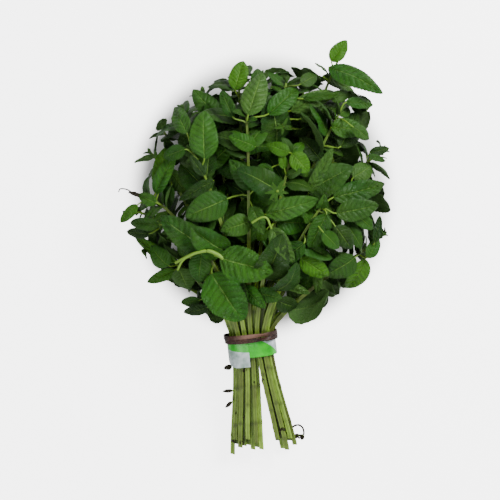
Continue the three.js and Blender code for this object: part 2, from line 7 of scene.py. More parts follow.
import bpy
import numpy as np
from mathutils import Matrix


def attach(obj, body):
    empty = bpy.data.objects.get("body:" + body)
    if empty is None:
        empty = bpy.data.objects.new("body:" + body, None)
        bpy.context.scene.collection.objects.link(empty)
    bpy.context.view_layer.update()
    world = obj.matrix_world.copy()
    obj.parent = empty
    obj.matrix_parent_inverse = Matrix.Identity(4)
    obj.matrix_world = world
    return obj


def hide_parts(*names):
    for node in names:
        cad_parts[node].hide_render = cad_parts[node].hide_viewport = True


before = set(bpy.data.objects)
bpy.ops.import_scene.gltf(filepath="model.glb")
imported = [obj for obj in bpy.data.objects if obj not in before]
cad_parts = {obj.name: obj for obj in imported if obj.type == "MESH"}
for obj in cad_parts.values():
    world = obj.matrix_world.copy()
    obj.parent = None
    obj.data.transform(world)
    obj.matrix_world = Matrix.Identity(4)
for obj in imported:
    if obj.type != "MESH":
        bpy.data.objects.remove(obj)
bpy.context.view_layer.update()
bpy.ops.object.select_all(action="DESELECT")

# ---------------------------------------------------------------------------------------------------------
# The stems: twenty-nine fresh square stems in five layers, cut with a knife and gathered in the hand. Each
# runs straight from its cut end to the band, then fans out to its own growing tip.
PIXEL = 0.72  # millimetres of the bunch to one pixel of the picture
PLAN_ZERO = (256, 250)
BUNCH_MIDDLE = np.array([0.25145721435546875, 1.1073532104492188, 0.9])  # of the laid bunch's box, and its foot


def plan(x, y, z=0.0):
    """A place read in picture pixels, at its real size."""
    return np.array([(x - PLAN_ZERO[0]) * PIXEL, (PLAN_ZERO[1] - y) * PIXEL, z], float)


HEAD_MIDDLE = plan(262, 188, 37)  # the middle of the leafy head
HEAD_RADII = np.array([92.0, 98.0, 37.0])
TIE = plan(251, 338, 22)  # the middle of the bundle where the band holds it
CUT = plan(262, 444, 9.6)  # the middle of the cut ends
STEM_PITCH = (4.5, 4.2)  # stem to stem at the band, across and up
STEM_SIDE = 3.4  # across a square stem's flats at the band
STEM_TIP_SIDE = 1.5
CUT_SPREAD = 1.35
CUT_PARTING = (-3.8, 5.6)  # the cut ends part to both sides of a gap, right of the middle
CUT_SLANT = 0.5
LONG_END = 8  # how much longer the leftmost stem of the middle layer was cut
TIE_LEAN = -0.12
TIE_CLIMB = 0.13
TIP_SINK = -0.15
FAN = (0.05, 0.03)  # how steeply the outermost stems part at the band, across and up

# Each row is one layer of stems, topmost first, and each stem is given by its growing tip:
# plan x, plan y, height in millimetres, and heading in degrees clockwise from +Y.
TIP_ROWS = [
    [(176, 224, 50, -78), (192, 152, 60, -35), (246, 114, 63, -5), (292, 152, 64, 15), (322, 206, 58, 40)],
    [(148, 198, 44, -72), (184, 112, 46, -28), (238, 76, 44, -5), (286, 84, 47, 8), (340, 112, 48, 30),
     (354, 184, 48, 60)],
    [(131, 212, 38, -95), (152, 154, 36, -45), (204, 94, 34, -20), (262, 76, 32, 0), (341, 54, 36, 25),
     (382, 152, 36, 60), (382, 236, 32, 50)],
    [(142, 252, 26, -112), (160, 126, 24, -35), (232, 86, 20, -8), (306, 78, 22, 10), (370, 106, 24, 40),
     (378, 194, 24, 75)],
    [(154, 282, 7, -125), (190, 120, 4, -25), (272, 96, 3, 3), (346, 124, 4, 32), (352, 284, 7, 120)],
]

drawn = 7


def draw(low, high):
    """Seeded draws, so the bunch is the same every time."""
    global drawn
    drawn = (drawn * 1664525 + 1013904223) % 4294967296
    return low + ((high - low) * drawn) / 4294967296


def unit(x, y, z):
    v = np.array([x, y, z], float)
    return v / math.sqrt(v @ v)


def normalized(v):
    return v / np.linalg.norm(v, axis=-1, keepdims=True)


def square(direction, axis):
    """What is left of a direction once its share along an axis is taken out, at unit length."""
    return normalized(direction - axis * (direction * axis).sum(-1, keepdims=True))


def run(a, da, b, db, t):
    """A smooth run from a to b, leaving along da and arriving along db."""
    t = np.asarray(t, float)[..., None]
    t2 = t * t
    t3 = t2 * t
    return a * (2 * t3 - 3 * t2 + 1) + da * (t3 - 2 * t2 + t) + b * (3 * t2 - 2 * t3) + db * (t3 - t2)


TABLE_SOFTNESS = 2.5
LYING = 0.1


def on_table(points):
    """What hangs lower than the table is laid out along it instead of going through it."""
    over = (points[..., 2] - LYING) / TABLE_SOFTNESS
    points[..., 2] = np.where(over < 1, LYING + TABLE_SOFTNESS * np.exp(np.minimum(over, 1) - 1), points[..., 2])
    return points


STEMWISE = normalized(TIE - CUT)


def make_stem(row, column):
    x, y, z, towards = TIP_ROWS[row][column]
    across = (column - (len(TIP_ROWS[row]) - 1) / 2) * STEM_PITCH[0]
    up = ((len(TIP_ROWS) - 1) / 2 - row) * STEM_PITCH[1]
    tie = TIE + np.array([across, 0, up])
    cut = CUT + np.array([across * CUT_SPREAD + CUT_PARTING[across > 3], 0, up])
    cut = cut + STEMWISE * (draw(-5, 4) - (LONG_END if (row, column) == (2, 0) else 0))
    tip = plan(x, y, z)
    turn = towards * math.pi / 180
    leave = unit(TIE_LEAN + (FAN[0] * across) / 15, 1, TIE_CLIMB + (FAN[1] * up) / 9)
    height = np.linalg.norm(tip - tie)
    return SimpleNamespace(
        row=row, column=column, tie=tie, cut=cut, tip=tip, rise=tie - cut,
        below=leave * np.linalg.norm(tie - cut), above=leave * (height * 0.5),
        arrive=unit(math.sin(turn), math.cos(turn), TIP_SINK) * (height * 0.8),
    )


def along(stem, s):
    """Places on a stem: 0 at the cut, 1 at the band, 2 at the tip."""
    s = np.atleast_1d(np.asarray(s, float))
    low = run(stem.cut, stem.rise, stem.tie, stem.below, s)
    high = on_table(run(stem.tie, stem.above, stem.tip, stem.arrive, s - 1))
    return np.where((s <= 1)[:, None], low, high)


def heading(stem, s):
    s = np.atleast_1d(np.asarray(s, float))
    return normalized(along(stem, np.minimum(2, s + 0.002)) - along(stem, np.maximum(0, s - 0.002)))


stems = [make_stem(row, column) for row, tips in enumerate(TIP_ROWS) for column in range(len(tips))]

# ---------------------------------------------------------------------------------------------------------
# The leaves: soft, toothed blades of a few centimetres on short stalks, in crossed pairs up each stem. They
# are laid as they found room when the bunch was set down: first those that lie on the head's face and
# outline, whose plan places are read off the picture, then each stem's own pairs underneath.

# Plan x and y of a blade's base, then of its tip, and the blade's width, in pixels.
FACE_LEAVES = [
    (220, 257, 271, 275, 38), (212, 273, 238, 322, 42), (205, 160, 202, 116, 29), (308, 194, 333, 152, 14),
    (276, 222, 312, 224, 24), (271, 228, 291, 260, 18), (267, 229, 256, 243, 12), (205, 248, 162, 221, 29),
    (228, 199, 189, 216, 29), (265, 215, 314, 202, 22), (215, 181, 179, 200, 13), (205, 177, 190, 157, 10),
    (331, 62, 347, 40, 16), (328, 68, 379, 85, 24), (289, 154, 266, 145, 14), (291, 155, 309, 173, 19),
    (262, 137, 243, 124, 15), (284, 170, 281, 154, 9), (202, 254, 197, 285, 23), (176, 262, 129, 241, 14),
    (175, 270, 145, 284, 12), (179, 268, 187, 293, 24), (365, 259, 351, 296, 21), (367, 258, 382, 237, 14),
    (374, 243, 381, 216, 9), (377, 243, 397, 213, 9), (317, 258, 320, 298, 11), (314, 263, 304, 296, 14),
    (304, 243, 270, 270, 20), (270, 273, 308, 298, 12), (332, 198, 389, 184, 22), (335, 214, 378, 206, 22),
    (326, 214, 309, 249, 20), (355, 257, 327, 278, 26), (251, 221, 224, 231, 22), (248, 117, 263, 70, 25),
    (268, 116, 300, 86, 20), (235, 91, 243, 60, 19), (233, 119, 221, 90, 13), (219, 119, 194, 90, 22),
    (188, 135, 170, 101, 18), (206, 170, 234, 141, 18), (160, 190, 162, 146, 20), (156, 194, 170, 157, 16),
    (322, 77, 365, 89, 15), (345, 103, 378, 103, 12), (290, 112, 336, 88, 18), (300, 120, 348, 104, 16),
    (369, 153, 391, 148, 9), (367, 156, 388, 161, 7), (340, 148, 361, 108, 26), (138, 205, 118, 223, 11),
    (157, 203, 138, 196, 13), (160, 225, 128, 223, 13), (150, 234, 122, 233, 11), (277, 300, 299, 312, 19),
    (208, 307, 182, 316, 12), (169, 266, 149, 250, 22), (320, 160, 303, 139, 18), (240, 262, 216, 236, 20),
    (305, 190, 270, 176, 20), (352, 178, 376, 164, 20), (254, 190, 232, 164, 20), (330, 128, 366, 130, 20),
    (285, 132, 262, 104, 18), (256, 292, 280, 300, 16), (186, 150, 163, 158, 15), (200, 126, 178, 143, 16),
    (216, 130, 207, 104, 16), (256, 148, 232, 138, 17), (272, 168, 250, 182, 18), (222, 150, 246, 168, 16),
    (334, 226, 352, 250, 19), (300, 258, 331, 279, 20), (244, 286, 262, 309, 17), (345, 170, 365, 190, 17),
    (170, 170, 186, 196, 17), (190, 236, 178, 262, 16), (284, 240, 302, 262, 16), (252, 206, 262, 232, 16),
    (312, 120, 336, 130, 16), (270, 118, 250, 100, 14), (352, 128, 372, 140, 13), (200, 300, 180, 304, 12),
]
# The face leaves, by their place in this list, whose green is dull and greyish, fresh and yellowish, or dark, partly
# their own deeper green and partly painted shade.
DULL_LEAVES = (3, 5, 21, 26, 29, 35, 44, 46, 47, 61, 76)
FRESH_LEAVES = (6, 12, 14, 15, 16, 17, 19, 20, 22, 37, 42, 51, 73)
SHADE_DARKENED_LEAVES = (10, 11, 24, 25, 48, 50, 54, 55, 56, 58, 64, 72, 80, 81)
RAISED = {0: 9, 1: 3, 3: 6, 5: 6, 14: 5, 15: 5}  # leaves that lie on top of all others, and how far they were pushed up
# A stem's own leaves, from the tip back: distance along the stem to each pair and the blades' length there.
PAIRS = [(3, 18), (11, 29), (21, 37), (33, 43), (48, 47), (65, 49), (84, 49), (105, 48), (128, 46)]
BLADE_WIDTH = 0.6  # of its length
PETIOLE = 1
TRIES = 44  # ways a leaf may turn before it is left out
OUTER_LIMIT = 1.04
LOWEST_LEAF = plan(0, 322)[1]
DOME_SHARE = 0.5
FACE_REACH = 12
FACE_BEHIND = 5  # a root is looked for this far behind the base
FACE_RISES = (1.5, 4, 7, 10)  # of the blade's base over its stem
FACE_PITCHES = (0, 0.15, -0.15, 0.3, -0.3, 0.5, -0.5)  # of the blade, over the head's own slope


def outward(point):
    """The outward direction of the head's rounded form at a place."""
    return normalized((point - HEAD_MIDDLE) / HEAD_RADII / HEAD_RADII)


def blade_place(leaf, u, v, off=0.0):
    """A place on a blade: u from rim to rim, v from base to tip, off along its thickness. The blade bends back
    along its length, is folded up along its midrib and curls down at its rims."""
    turn = leaf.bend * v
    away = leaf.length * np.sin(turn) / leaf.bend
    drop = leaf.length * (1 - np.cos(turn)) / leaf.bend
    half = leaf.half * np.power(np.maximum(np.sin(math.pi * np.power(v, 0.72)), 0), 0.85)
    up = leaf.facing * np.cos(turn)[:, None] + leaf.along * np.sin(turn)[:, None]
    twist = leaf.twist * v
    side = leaf.side * np.cos(twist)[:, None] + up * np.sin(twist)[:, None]
    up = up * np.cos(twist)[:, None] - leaf.side * np.sin(twist)[:, None]
    lift = half * (leaf.fold * np.abs(u) - leaf.curl * u * u) + off
    point = leaf.base + leaf.along * away[:, None] - leaf.facing * drop[:, None]
    return point + side * (half * u)[:, None] + up * lift[:, None]


def make_leaf(stem, s, base, direction, facing, length, width, shape):
    normal = square(facing, direction)
    return SimpleNamespace(
        stem=stem, s=s, base=base, length=length, half=width / 2, root=along(stem, s)[0],
        along=direction, facing=normal, side=np.cross(direction, normal), face=False, **shape,
    )


# The cells that stems and leaves fill as they are placed.
CELL = 2
GRID_LOW = np.array([-130.0, -170.0, -4.0])
GRID_SIZE = (130, 170, 52)
filled = np.zeros(GRID_SIZE[0] * GRID_SIZE[1] * GRID_SIZE[2], np.uint8)
PROBES = (9, 17)
OWN_ROOM = 5
probe_u = np.repeat([(2 * i) / PROBES[0] - 1 for i in range(PROBES[0] + 1)], PROBES[1] + 1)
probe_v = np.tile([j / PROBES[1] for j in range(PROBES[1] + 1)], PROBES[0] + 1)
probe_t = np.array([j / PROBES[1] for j in range(PROBES[1] + 1)])


def cells(points):
    i, j, k = np.floor((points - GRID_LOW) / CELL).astype(int).T
    return (i * GRID_SIZE[1] + j) * GRID_SIZE[2] + k


def probes(leaf):
    """The places that stand for a leaf in the grid, away from where it joins its stem."""
    blade = on_table(blade_place(leaf, probe_u, probe_v))
    stalk = leaf.root + (leaf.base - leaf.root) * probe_t[:, None]
    places = np.concatenate([blade, stalk])
    return places[np.linalg.norm(places - leaf.root, axis=1) > OWN_ROOM]


def settle(poses, may_meet):
    """The first of a leaf's possible poses that meets nothing, or else the one that meets least."""
    best, fewest = None, may_meet
    for leaf in poses:
        met = int(filled[cells(probes(leaf))].sum())
        if met <= fewest:
            best, fewest = leaf, met - 1
        if met == 0:
            break
    if best:
        filled[cells(probes(best))] = 1
    return best


def running_sums(start, end, step):
    values = [start]
    while values[-1] + step <= end:
        values.append(values[-1] + step)
    return np.array(values)


ROOT_PLACES = running_sums(1.06, 1.985, 0.015)
for stem in stems:
    stem.root_points = along(stem, ROOT_PLACES)
    back = along(stem, [2 - i / 160 for i in range(161)])
    stem.gone = np.cumsum(np.linalg.norm(np.diff(back, axis=0), axis=1))
    for x in (-1, 1):
        for z in (-1, 1):
            filled[cells(along(stem, running_sums(1, 2, 0.004)) + np.array([x, 0, z]))] = 1


def face_poses(entry):
    """A face leaf keeps its plan place. It grows from the uppermost stem within reach that leaves it room."""
    bx, by, tx, ty, width = entry
    shape = dict(bend=draw(0.25, 0.75), fold=draw(0.05, 0.35), curl=draw(0.05, 0.3), twist=draw(-0.25, 0.25))
    ends = [plan(bx, by), plan(tx, ty)]
    domes = []
    for end in ends:
        flat = (end - HEAD_MIDDLE) / HEAD_RADII
        flat[2] = 0
        domes.append(math.sqrt(max(0, 1 - flat @ flat)) * HEAD_RADII[2])
    reach = np.linalg.norm(ends[1] - ends[0])
    slope = DOME_SHARE * (domes[1] - domes[0]) / reach
    behind = ends[0] - normalized(ends[1] - ends[0]) * FACE_BEHIND
    found = []
    for stem in stems:
        far = np.hypot(stem.root_points[:, 0] - behind[0], stem.root_points[:, 1] - behind[1])
        i = int(np.argmin(far))
        found.append((far[i], stem, ROOT_PLACES[i], stem.root_points[i]))
    found.sort(key=lambda root: root[0])
    close = [root for root in found if root[0] < FACE_REACH]
    roots = sorted(close, key=lambda root: root[0] - root[3][2]) if close else found[:2]
    for far, stem, s, point in roots:
        for rise in FACE_RISES:
            for pitch in FACE_PITCHES:
                base = np.array([ends[0][0], ends[0][1], point[2] + rise])
                tip = np.array([ends[1][0], ends[1][1], base[2] + (slope + pitch) * reach])
                direction = tip - base
                length = np.linalg.norm(direction)
                out = outward(base)
                out[2] = 0
                out = out * 0.4 + np.array([0, 0, 0.8])
                yield make_leaf(stem, s, base, direction / length, out, length, width * PIXEL, shape)


def own_poses(stem, distance, blade, turn):
    """A stem's own leaves stand in crossed pairs, turned as they find room."""
    gone = np.nonzero(stem.gone >= distance)[0]
    s = 2 - (gone[0] + 1) / 160 if len(gone) else 1
    root = along(stem, s)[0]
    if root[1] < LOWEST_LEAF:
        return
    forward = heading(stem, s)[0]
    out = square(outward(root), forward)
    side = np.cross(forward, out)
    for attempt in range(TRIES):
        freedom = attempt / TRIES
        around = turn + draw(-1.2, 1.2) * freedom
        opening = draw(0.55, 0.95) + draw(-0.4, 0.7) * freedom
        size = 1 - 0.42 * freedom
        width = BLADE_WIDTH * draw(0.9, 1.08)
        lean = draw(0.4, 1)
        shape = dict(bend=draw(0.2, 1.0), fold=draw(0.05, 0.45), curl=draw(0.05, 0.3), twist=draw(-0.4, 0.4))
        spread = out * math.cos(around) + side * math.sin(around)
        direction = normalized(forward * math.cos(opening) + spread * math.sin(opening))
        facing = forward * (1 - lean) + outward(root) * lean
        base = root + direction * (PETIOLE * size)
        length = blade * size
        leaf = make_leaf(stem, s, base, direction, facing, length, length * width, shape)
        tip = blade_place(leaf, np.array([0.0]), np.array([1.0]))[0]
        if np.linalg.norm((tip - HEAD_MIDDLE) / HEAD_RADII) < OUTER_LIMIT and tip[1] > LOWEST_LEAF:
            yield leaf


leaves = []
for index, entry in enumerate(FACE_LEAVES):
    leaf = settle(face_poses(entry), 12)
    if leaf:
        leaf.face, leaf.entry = True, index
        leaf.base = leaf.base + np.array([0, 0, RAISED.get(index, 0)])
        leaves.append(leaf)
for pair, (distance, blade) in enumerate(PAIRS):
    for stem in stems:
        turn = draw(0, math.pi) + (pair % 2) * 1.57
        back = distance * draw(0.9, 1.15)
        for half in (0, math.pi):
            leaf = settle(own_poses(stem, back, blade * draw(0.88, 1.08), turn + half), 3)
            if leaf:
                leaves.append(leaf)

# Between the pairs, short side shoots carry smaller and narrower blades, which fill the head out.
SHOOTS = [(7, 13), (17, 19), (28, 24), (41, 27), (57, 28), (76, 27)]
for distance, blade in SHOOTS:
    for stem in stems:
        turn = draw(0, 2 * math.pi)
        for half in (0, 2.4):
            leaf = settle(own_poses(stem, distance * draw(0.9, 1.15), blade * draw(0.8, 1.1), turn + half), 4)
            if leaf:
                leaf.half *= draw(0.6, 0.95)
                leaves.append(leaf)
# And a few single leaves, given as the face leaves are, close the thin places at both flanks and the top.
THIN_PLACES = [(345, 222, 362, 246, 16), (352, 212, 374, 230, 15), (338, 236, 350, 262, 15), (358, 240, 366, 262, 13),
               (168, 180, 155, 204, 15), (176, 203, 158, 224, 15), (172, 186, 163, 212, 14), (322, 232, 340, 250, 15),
               (272, 84, 292, 68, 15), (300, 86, 320, 72, 14), (256, 90, 258, 66, 13), (330, 100, 352, 92, 13),
               (318, 104, 356, 98, 9), (302, 100, 340, 94, 9), (300, 130, 340, 118, 10), (232, 200, 250, 186, 14)]
for entry in THIN_PLACES:
    leaf = settle(face_poses(entry), 18)
    if leaf:
        leaves.append(leaf)

# === bodies
# ---------------------------------------------------------------------------------------------------------
# One blade is modelled flat, once in a fine and once in a plainer form, and every leaf bends its own copy:
# a thin sheet with a toothed rim, quilted between sunken veins, and a rib along its underside.
UPPER_HALF = 0.2  # half of a blade's thickness
RIM_HALF = 0.13
PUCKER = 0.85  # how far the quilting rises between the veins of a full-grown blade
CRINKLE = 0.3
CROWN = 72.0
BLISTER = 1.0  # how far its surface swells and sinks besides
DROOP = 0.16  # how far a limp blade's tip hangs, of its length
FULL_GROWN = 48.0
VEIN_SPACING = 0.118  # along the midrib, of the blade's length
VEIN_START = 0.045
VEIN_SWEEP = 0.19  # how far a vein runs forward on its way to the rim


def flat_blade(across, rows, teeth):
    """A flat blade as (u, v, layer, faces): layer is 1 on the upper sheet and -1 on the lower one."""
    bpy.ops.mesh.primitive_grid_add(x_subdivisions=across, y_subdivisions=rows, size=2)
    blade = bpy.context.object
    bpy.ops.object.mode_set(mode="EDIT")
    bpy.ops.mesh.select_all(action="SELECT")
    bpy.ops.mesh.extrude_region_move(TRANSFORM_OT_translate={"value": (0, 0, 2)})
    bpy.ops.mesh.select_all(action="SELECT")
    bpy.ops.mesh.normals_make_consistent(inside=False)
    bpy.ops.object.mode_set(mode="OBJECT")
    places = np.array([vertex.co for vertex in blade.data.vertices])
    faces = [list(face.vertices) for face in blade.data.polygons]
    bpy.data.objects.remove(blade)
    u, v, layer = places[:, 0], (places[:, 1] + 1) / 2, places[:, 2] - 1
    rim = np.abs(u) ** 7
    step = np.rint(v * rows)
    per_tooth = rows / teeth
    rise = (step % per_tooth) / max(per_tooth - 1, 1)
    inside = np.clip(v / 0.1, 0, 1) * np.clip((1 - v) / 0.05, 0, 1)
    u = u * (1 + rim * inside * (0.055 * rise - 0.02))
    v = np.clip(v + rim * inside * rise * 0.3 / rows, 0, 1)
    return SimpleNamespace(u=u, v=v, layer=layer, faces=faces, rim=rim)


FACE_BLADE = flat_blade(18, 54, 18)  # for the leaves on top, that the photo shows whole
UPPER_BLADE = flat_blade(10, 30, 10)
PLAIN_BLADE = flat_blade(6, 16, 8)  # for the small and the hidden ones


def vein_phase(u, v):
    """Whole numbers along the side veins, which leave the midrib and sweep forward to the rim."""
    return (v - VEIN_START - VEIN_SWEEP * np.abs(u) ** 1.25 * (1 - 0.35 * v)) / VEIN_SPACING


def blade_of(leaf):
    if leaf.fine:
        return FACE_BLADE
    return UPPER_BLADE if leaf.length > 24 and leaf.stem.row < 2 else PLAIN_BLADE


def relief(leaf, blade):
    """How far each place of a blade's two sheets stands off its middle layer."""
    u, v = blade.u, blade.v
    grown = min(1, leaf.length / FULL_GROWN)
    waves = np.sin(math.pi * (vein_phase(u, v) + leaf.offset)) ** 2
    open_part = (1 - np.abs(u) ** 4) * np.clip(v / 0.08, 0, 1) * np.clip((1 - v) / 0.12, 0, 1)
    quilt = PUCKER * grown * open_part * np.clip(np.abs(u) / 0.16, 0, 1) * (waves**0.6 - 0.45)
    ripple = leaf.ripple * grown * np.abs(u) ** 3 * np.sin(2 * math.pi * (v * leaf.waves + leaf.offset + 0.3 * np.sign(u)))
    groove = -0.35 * grown * np.exp(-((u / 0.07) ** 2)) * np.clip((1 - v) / 0.3, 0, 1)
    blister = BLISTER * grown * open_part * np.sin(2 * math.pi * (0.7 * u + leaf.offset * 3)) * np.sin(
        2 * math.pi * (1.3 * v + leaf.waves))
    crinkle = CRINKLE * grown * open_part * np.sin(2 * math.pi * (2.3 * u + 5 * leaf.offset)) * np.sin(
        2 * math.pi * (5.2 * v + 1.5 * u * u + 2 * leaf.waves))
    rib = -0.55 * np.exp(-((u * leaf.half / 0.8) ** 2)) * (1 - 0.8 * v) * (blade.layer < 0)
    thick = blade.layer * (UPPER_HALF + (RIM_HALF - UPPER_HALF) * blade.rim)
    return quilt + blister + crinkle + groove + ripple + rib + thick


def lie(points):
    """From the laid bunch to the part's own frame. What meets the table lies flat on it."""
    points = points - BUNCH_MIDDLE
    low = points[:, 2] < 0.8
    points[:, 2] = np.where(low, 0.3 + 0.5 * np.exp(np.minimum((points[:, 2] - 0.8) / 0.5, 0)), points[:, 2])
    return points


def laid_blade(leaf):
    blade = blade_of(leaf)
    full = np.minimum(1, (1.02 - blade.v) / 0.52) ** -leaf.blunt  # rounds the tip
    hang = leaf.droop * DROOP * leaf.length * np.maximum(0, (blade.v - 0.4) / 0.6) ** 2
    middle = on_table(blade_place(leaf, blade.u * full, blade.v) - leaf.facing * hang[:, None])
    off = relief(leaf, blade)
    probe = on_table(blade_place(leaf, blade.u * full, blade.v, 1.0) - leaf.facing * hang[:, None])
    up = normalized(probe - middle + np.array([0, 0, 1e-6]))
    places = lie(middle) + up * off[:, None]
    places[:, 2] = np.maximum(places[:, 2], 0.0)
    over = np.maximum(places[:, 2] - CROWN, 0)  # nothing stands above the crown of the head
    places[:, 2] -= over * 0.85
    return places


# A stalk, eight-sided, from its stem to its blade.
STALK_SIDES = 8
STALK_RINGS = 5
STALK_RADII = (0.85, 0.62)


def tube(points, radii, sides, sidewise=None):
    """The rings of a round tube along a run of points, with a point at each end."""
    forward = normalized(np.gradient(points, axis=0))
    first = np.array([1.0, 0, 0]) if sidewise is None else sidewise
    across = square(first[None, :] + np.zeros_like(points), forward)
    up = np.cross(across, forward)
    turns = np.arange(sides) * 2 * math.pi / sides
    ring = across[:, None, :] * np.cos(turns)[None, :, None] + up[:, None, :] * np.sin(turns)[None, :, None]
    places = points[:, None, :] + ring * np.asarray(radii)[:, None, None]
    return np.concatenate([places.reshape(-1, 3), points[:1], points[-1:]])


def tube_faces(rings, sides):
    faces = []
    for i in range(rings - 1):
        for j in range(sides):
            k = (j + 1) % sides
            faces.append([i * sides + j, (i + 1) * sides + j, (i + 1) * sides + k, i * sides + k])
    first, last = rings * sides, rings * sides + 1
    for j in range(sides):
        k = (j + 1) % sides
        faces.append([first, j, k])
        faces.append([last, (rings - 1) * sides + k, (rings - 1) * sides + j])
    return faces


STALK_FACES = tube_faces(STALK_RINGS, STALK_SIDES)


def laid_stalk(leaf):
    t = np.linspace(0, 1, STALK_RINGS)
    stem_way = heading(leaf.stem, leaf.s)[0]
    end = leaf.base + leaf.along * 0.8
    reach = np.linalg.norm(end - leaf.root)
    leave = normalized(stem_way * 0.6 + normalized(end - leaf.root)) * reach
    points = run(leaf.root, leave, end, leaf.along * reach * 0.9, t)
    radii = STALK_RADII[0] + (STALK_RADII[1] - STALK_RADII[0]) * t
    scale = min(1, 0.55 + 0.45 * leaf.length / 40)
    return lie(tube(on_table(points), radii * scale, STALK_SIDES))


# One square stem: a round bar with its ends inset, given a stem's grooved square section ring by ring.
STEM_SIDES = 16
STEM_RINGS = 102
bpy.ops.mesh.primitive_cylinder_add(vertices=STEM_SIDES, radius=1, depth=1, end_fill_type="NGON")
bar = bpy.context.object
bpy.ops.object.mode_set(mode="EDIT")
bpy.ops.mesh.select_mode(type="EDGE")  # else the rings' own edges are cut too
bpy.ops.mesh.select_all(action="DESELECT")
bpy.ops.object.mode_set(mode="OBJECT")
for edge in bar.data.edges:
    ends = [bar.data.vertices[i].co for i in edge.vertices]
    edge.select = abs(ends[0].z - ends[1].z) > 0.5
bpy.ops.object.mode_set(mode="EDIT")
bpy.ops.mesh.subdivide(number_cuts=STEM_RINGS - 2)
bpy.ops.mesh.select_mode(type="FACE")
bpy.ops.mesh.select_all(action="DESELECT")
bpy.ops.object.mode_set(mode="OBJECT")
for face in bar.data.polygons:
    face.select = len(face.vertices) == STEM_SIDES
bpy.ops.object.mode_set(mode="EDIT")
bpy.ops.mesh.inset(thickness=0.3, depth=0.12)
bpy.ops.mesh.poke()
bpy.ops.object.mode_set(mode="OBJECT")
bar_places = np.array([vertex.co for vertex in bar.data.vertices])
bar_faces = [list(face.vertices) for face in bar.data.polygons]
bpy.data.objects.remove(bar)
bar_turn = np.arctan2(bar_places[:, 1], bar_places[:, 0])
bar_out = np.hypot(bar_places[:, 0], bar_places[:, 1])
bar_length = np.clip(bar_places[:, 2] + 0.5, 0, 1)
JOINT_WIDTH = 1.5
LOW_JOINTS = 27.0  # from one leaf scar to the next, below the leaves
BAR_RINGS = np.concatenate([np.linspace(0, 1.3, 73), np.linspace(1.3, 2, 30)[1:]])


def laid_stem(stem):
    """The stem's places, and how near each is to a joint, as (places, joint)."""
    s = np.interp(bar_length * (STEM_RINGS - 1), np.arange(STEM_RINGS), BAR_RINGS)
    middle = along(stem, s)
    forward = heading(stem, s)
    across = square(np.array([1.0, 0, 0]) + np.zeros_like(forward), forward)
    up = np.cross(across, forward)
    slim = np.maximum(0, s - 1.2) / 0.8
    half = (STEM_SIDE + (STEM_TIP_SIDE - STEM_SIDE) * slim) / 2
    c, d = np.abs(np.cos(bar_turn)), np.abs(np.sin(bar_turn))
    section = 1 / (c**4.5 + d**4.5) ** (1 / 4.5) - 0.2 * np.cos(2 * bar_turn) ** 6
    ring_s = np.linspace(0, 2, 401)
    ring_places = along(stem, ring_s)
    gone = np.concatenate([[0], np.cumsum(np.linalg.norm(np.diff(ring_places, axis=0), axis=1))])
    at = np.interp(s, ring_s, gone)
    near = np.zeros_like(at)
    for joint in stem.joints:
        near = np.maximum(near, np.exp(-(((at - joint) / JOINT_WIDTH) ** 2)))
    half = half * section * bar_out * (1 + 0.13 * near * (s < 1.5))
    slant = CUT_SLANT * np.maximum(0, 1 - at / 3) * -np.cos(bar_turn)
    places = middle + across * (half * np.cos(bar_turn))[:, None] + up * (half * np.sin(bar_turn))[:, None]
    places = places + STEMWISE * slant[:, None]
    cut = (np.abs(bar_places[:, 2]) > 0.3) & (bar_out < 0.85) & (s < 0.5)
    places = places + STEMWISE * (cut * 0.35)[:, None]
    return lie(places), near, cut


# A bud: small blades held close round the growing tip, folded up and pale.
TIP_BLADES = 3


def bud_leaves(stem):
    forward = heading(stem, 2)[0]
    side = square(np.array([0.3, 0.2, 1.0]), forward)
    other = np.cross(forward, side)
    for i in range(TIP_BLADES):
        turn = i * 2 * math.pi / TIP_BLADES + draw(-0.3, 0.3)
        opening = draw(0.1, 0.35)
        spread = side * math.cos(turn) + other * math.sin(turn)
        direction = normalized(forward * math.cos(opening) + spread * math.sin(opening))
        length = draw(4, 7)
        shape = dict(bend=draw(0.3, 0.9), fold=draw(0.4, 0.8), curl=0.1, twist=draw(-0.3, 0.3))
        leaf = make_leaf(stem, 2, stem.tip, direction, forward, length, length * draw(0.42, 0.55), shape)
        leaf.bud = True
        yield leaf


# ---------------------------------------------------------------------------------------------------------
# What was not picked off: a few withered leaves and bare tendrils, brown and curled, on the outer stems.
# Plan x and y of each one's base, then of its tip, and its width, in pixels.
WITHERED = [(232, 366, 221, 371, 6), (233, 391, 219, 393, 4), (232, 402, 223, 410, 4), (231, 440, 236, 446, 3),
            (240, 441, 245, 450, 4), (284, 428, 278, 438, 6), (300, 436, 290, 441, 5), (304, 436, 299, 442, 6),
            (262, 378, 265, 388, 3), (246, 368, 241, 376, 4), (236, 412, 235, 424, 2.5), (243, 416, 242, 423, 2.5),
            (146, 198, 120, 190, 5), (205, 302, 183, 313, 9), (254, 380, 254, 392, 2)]


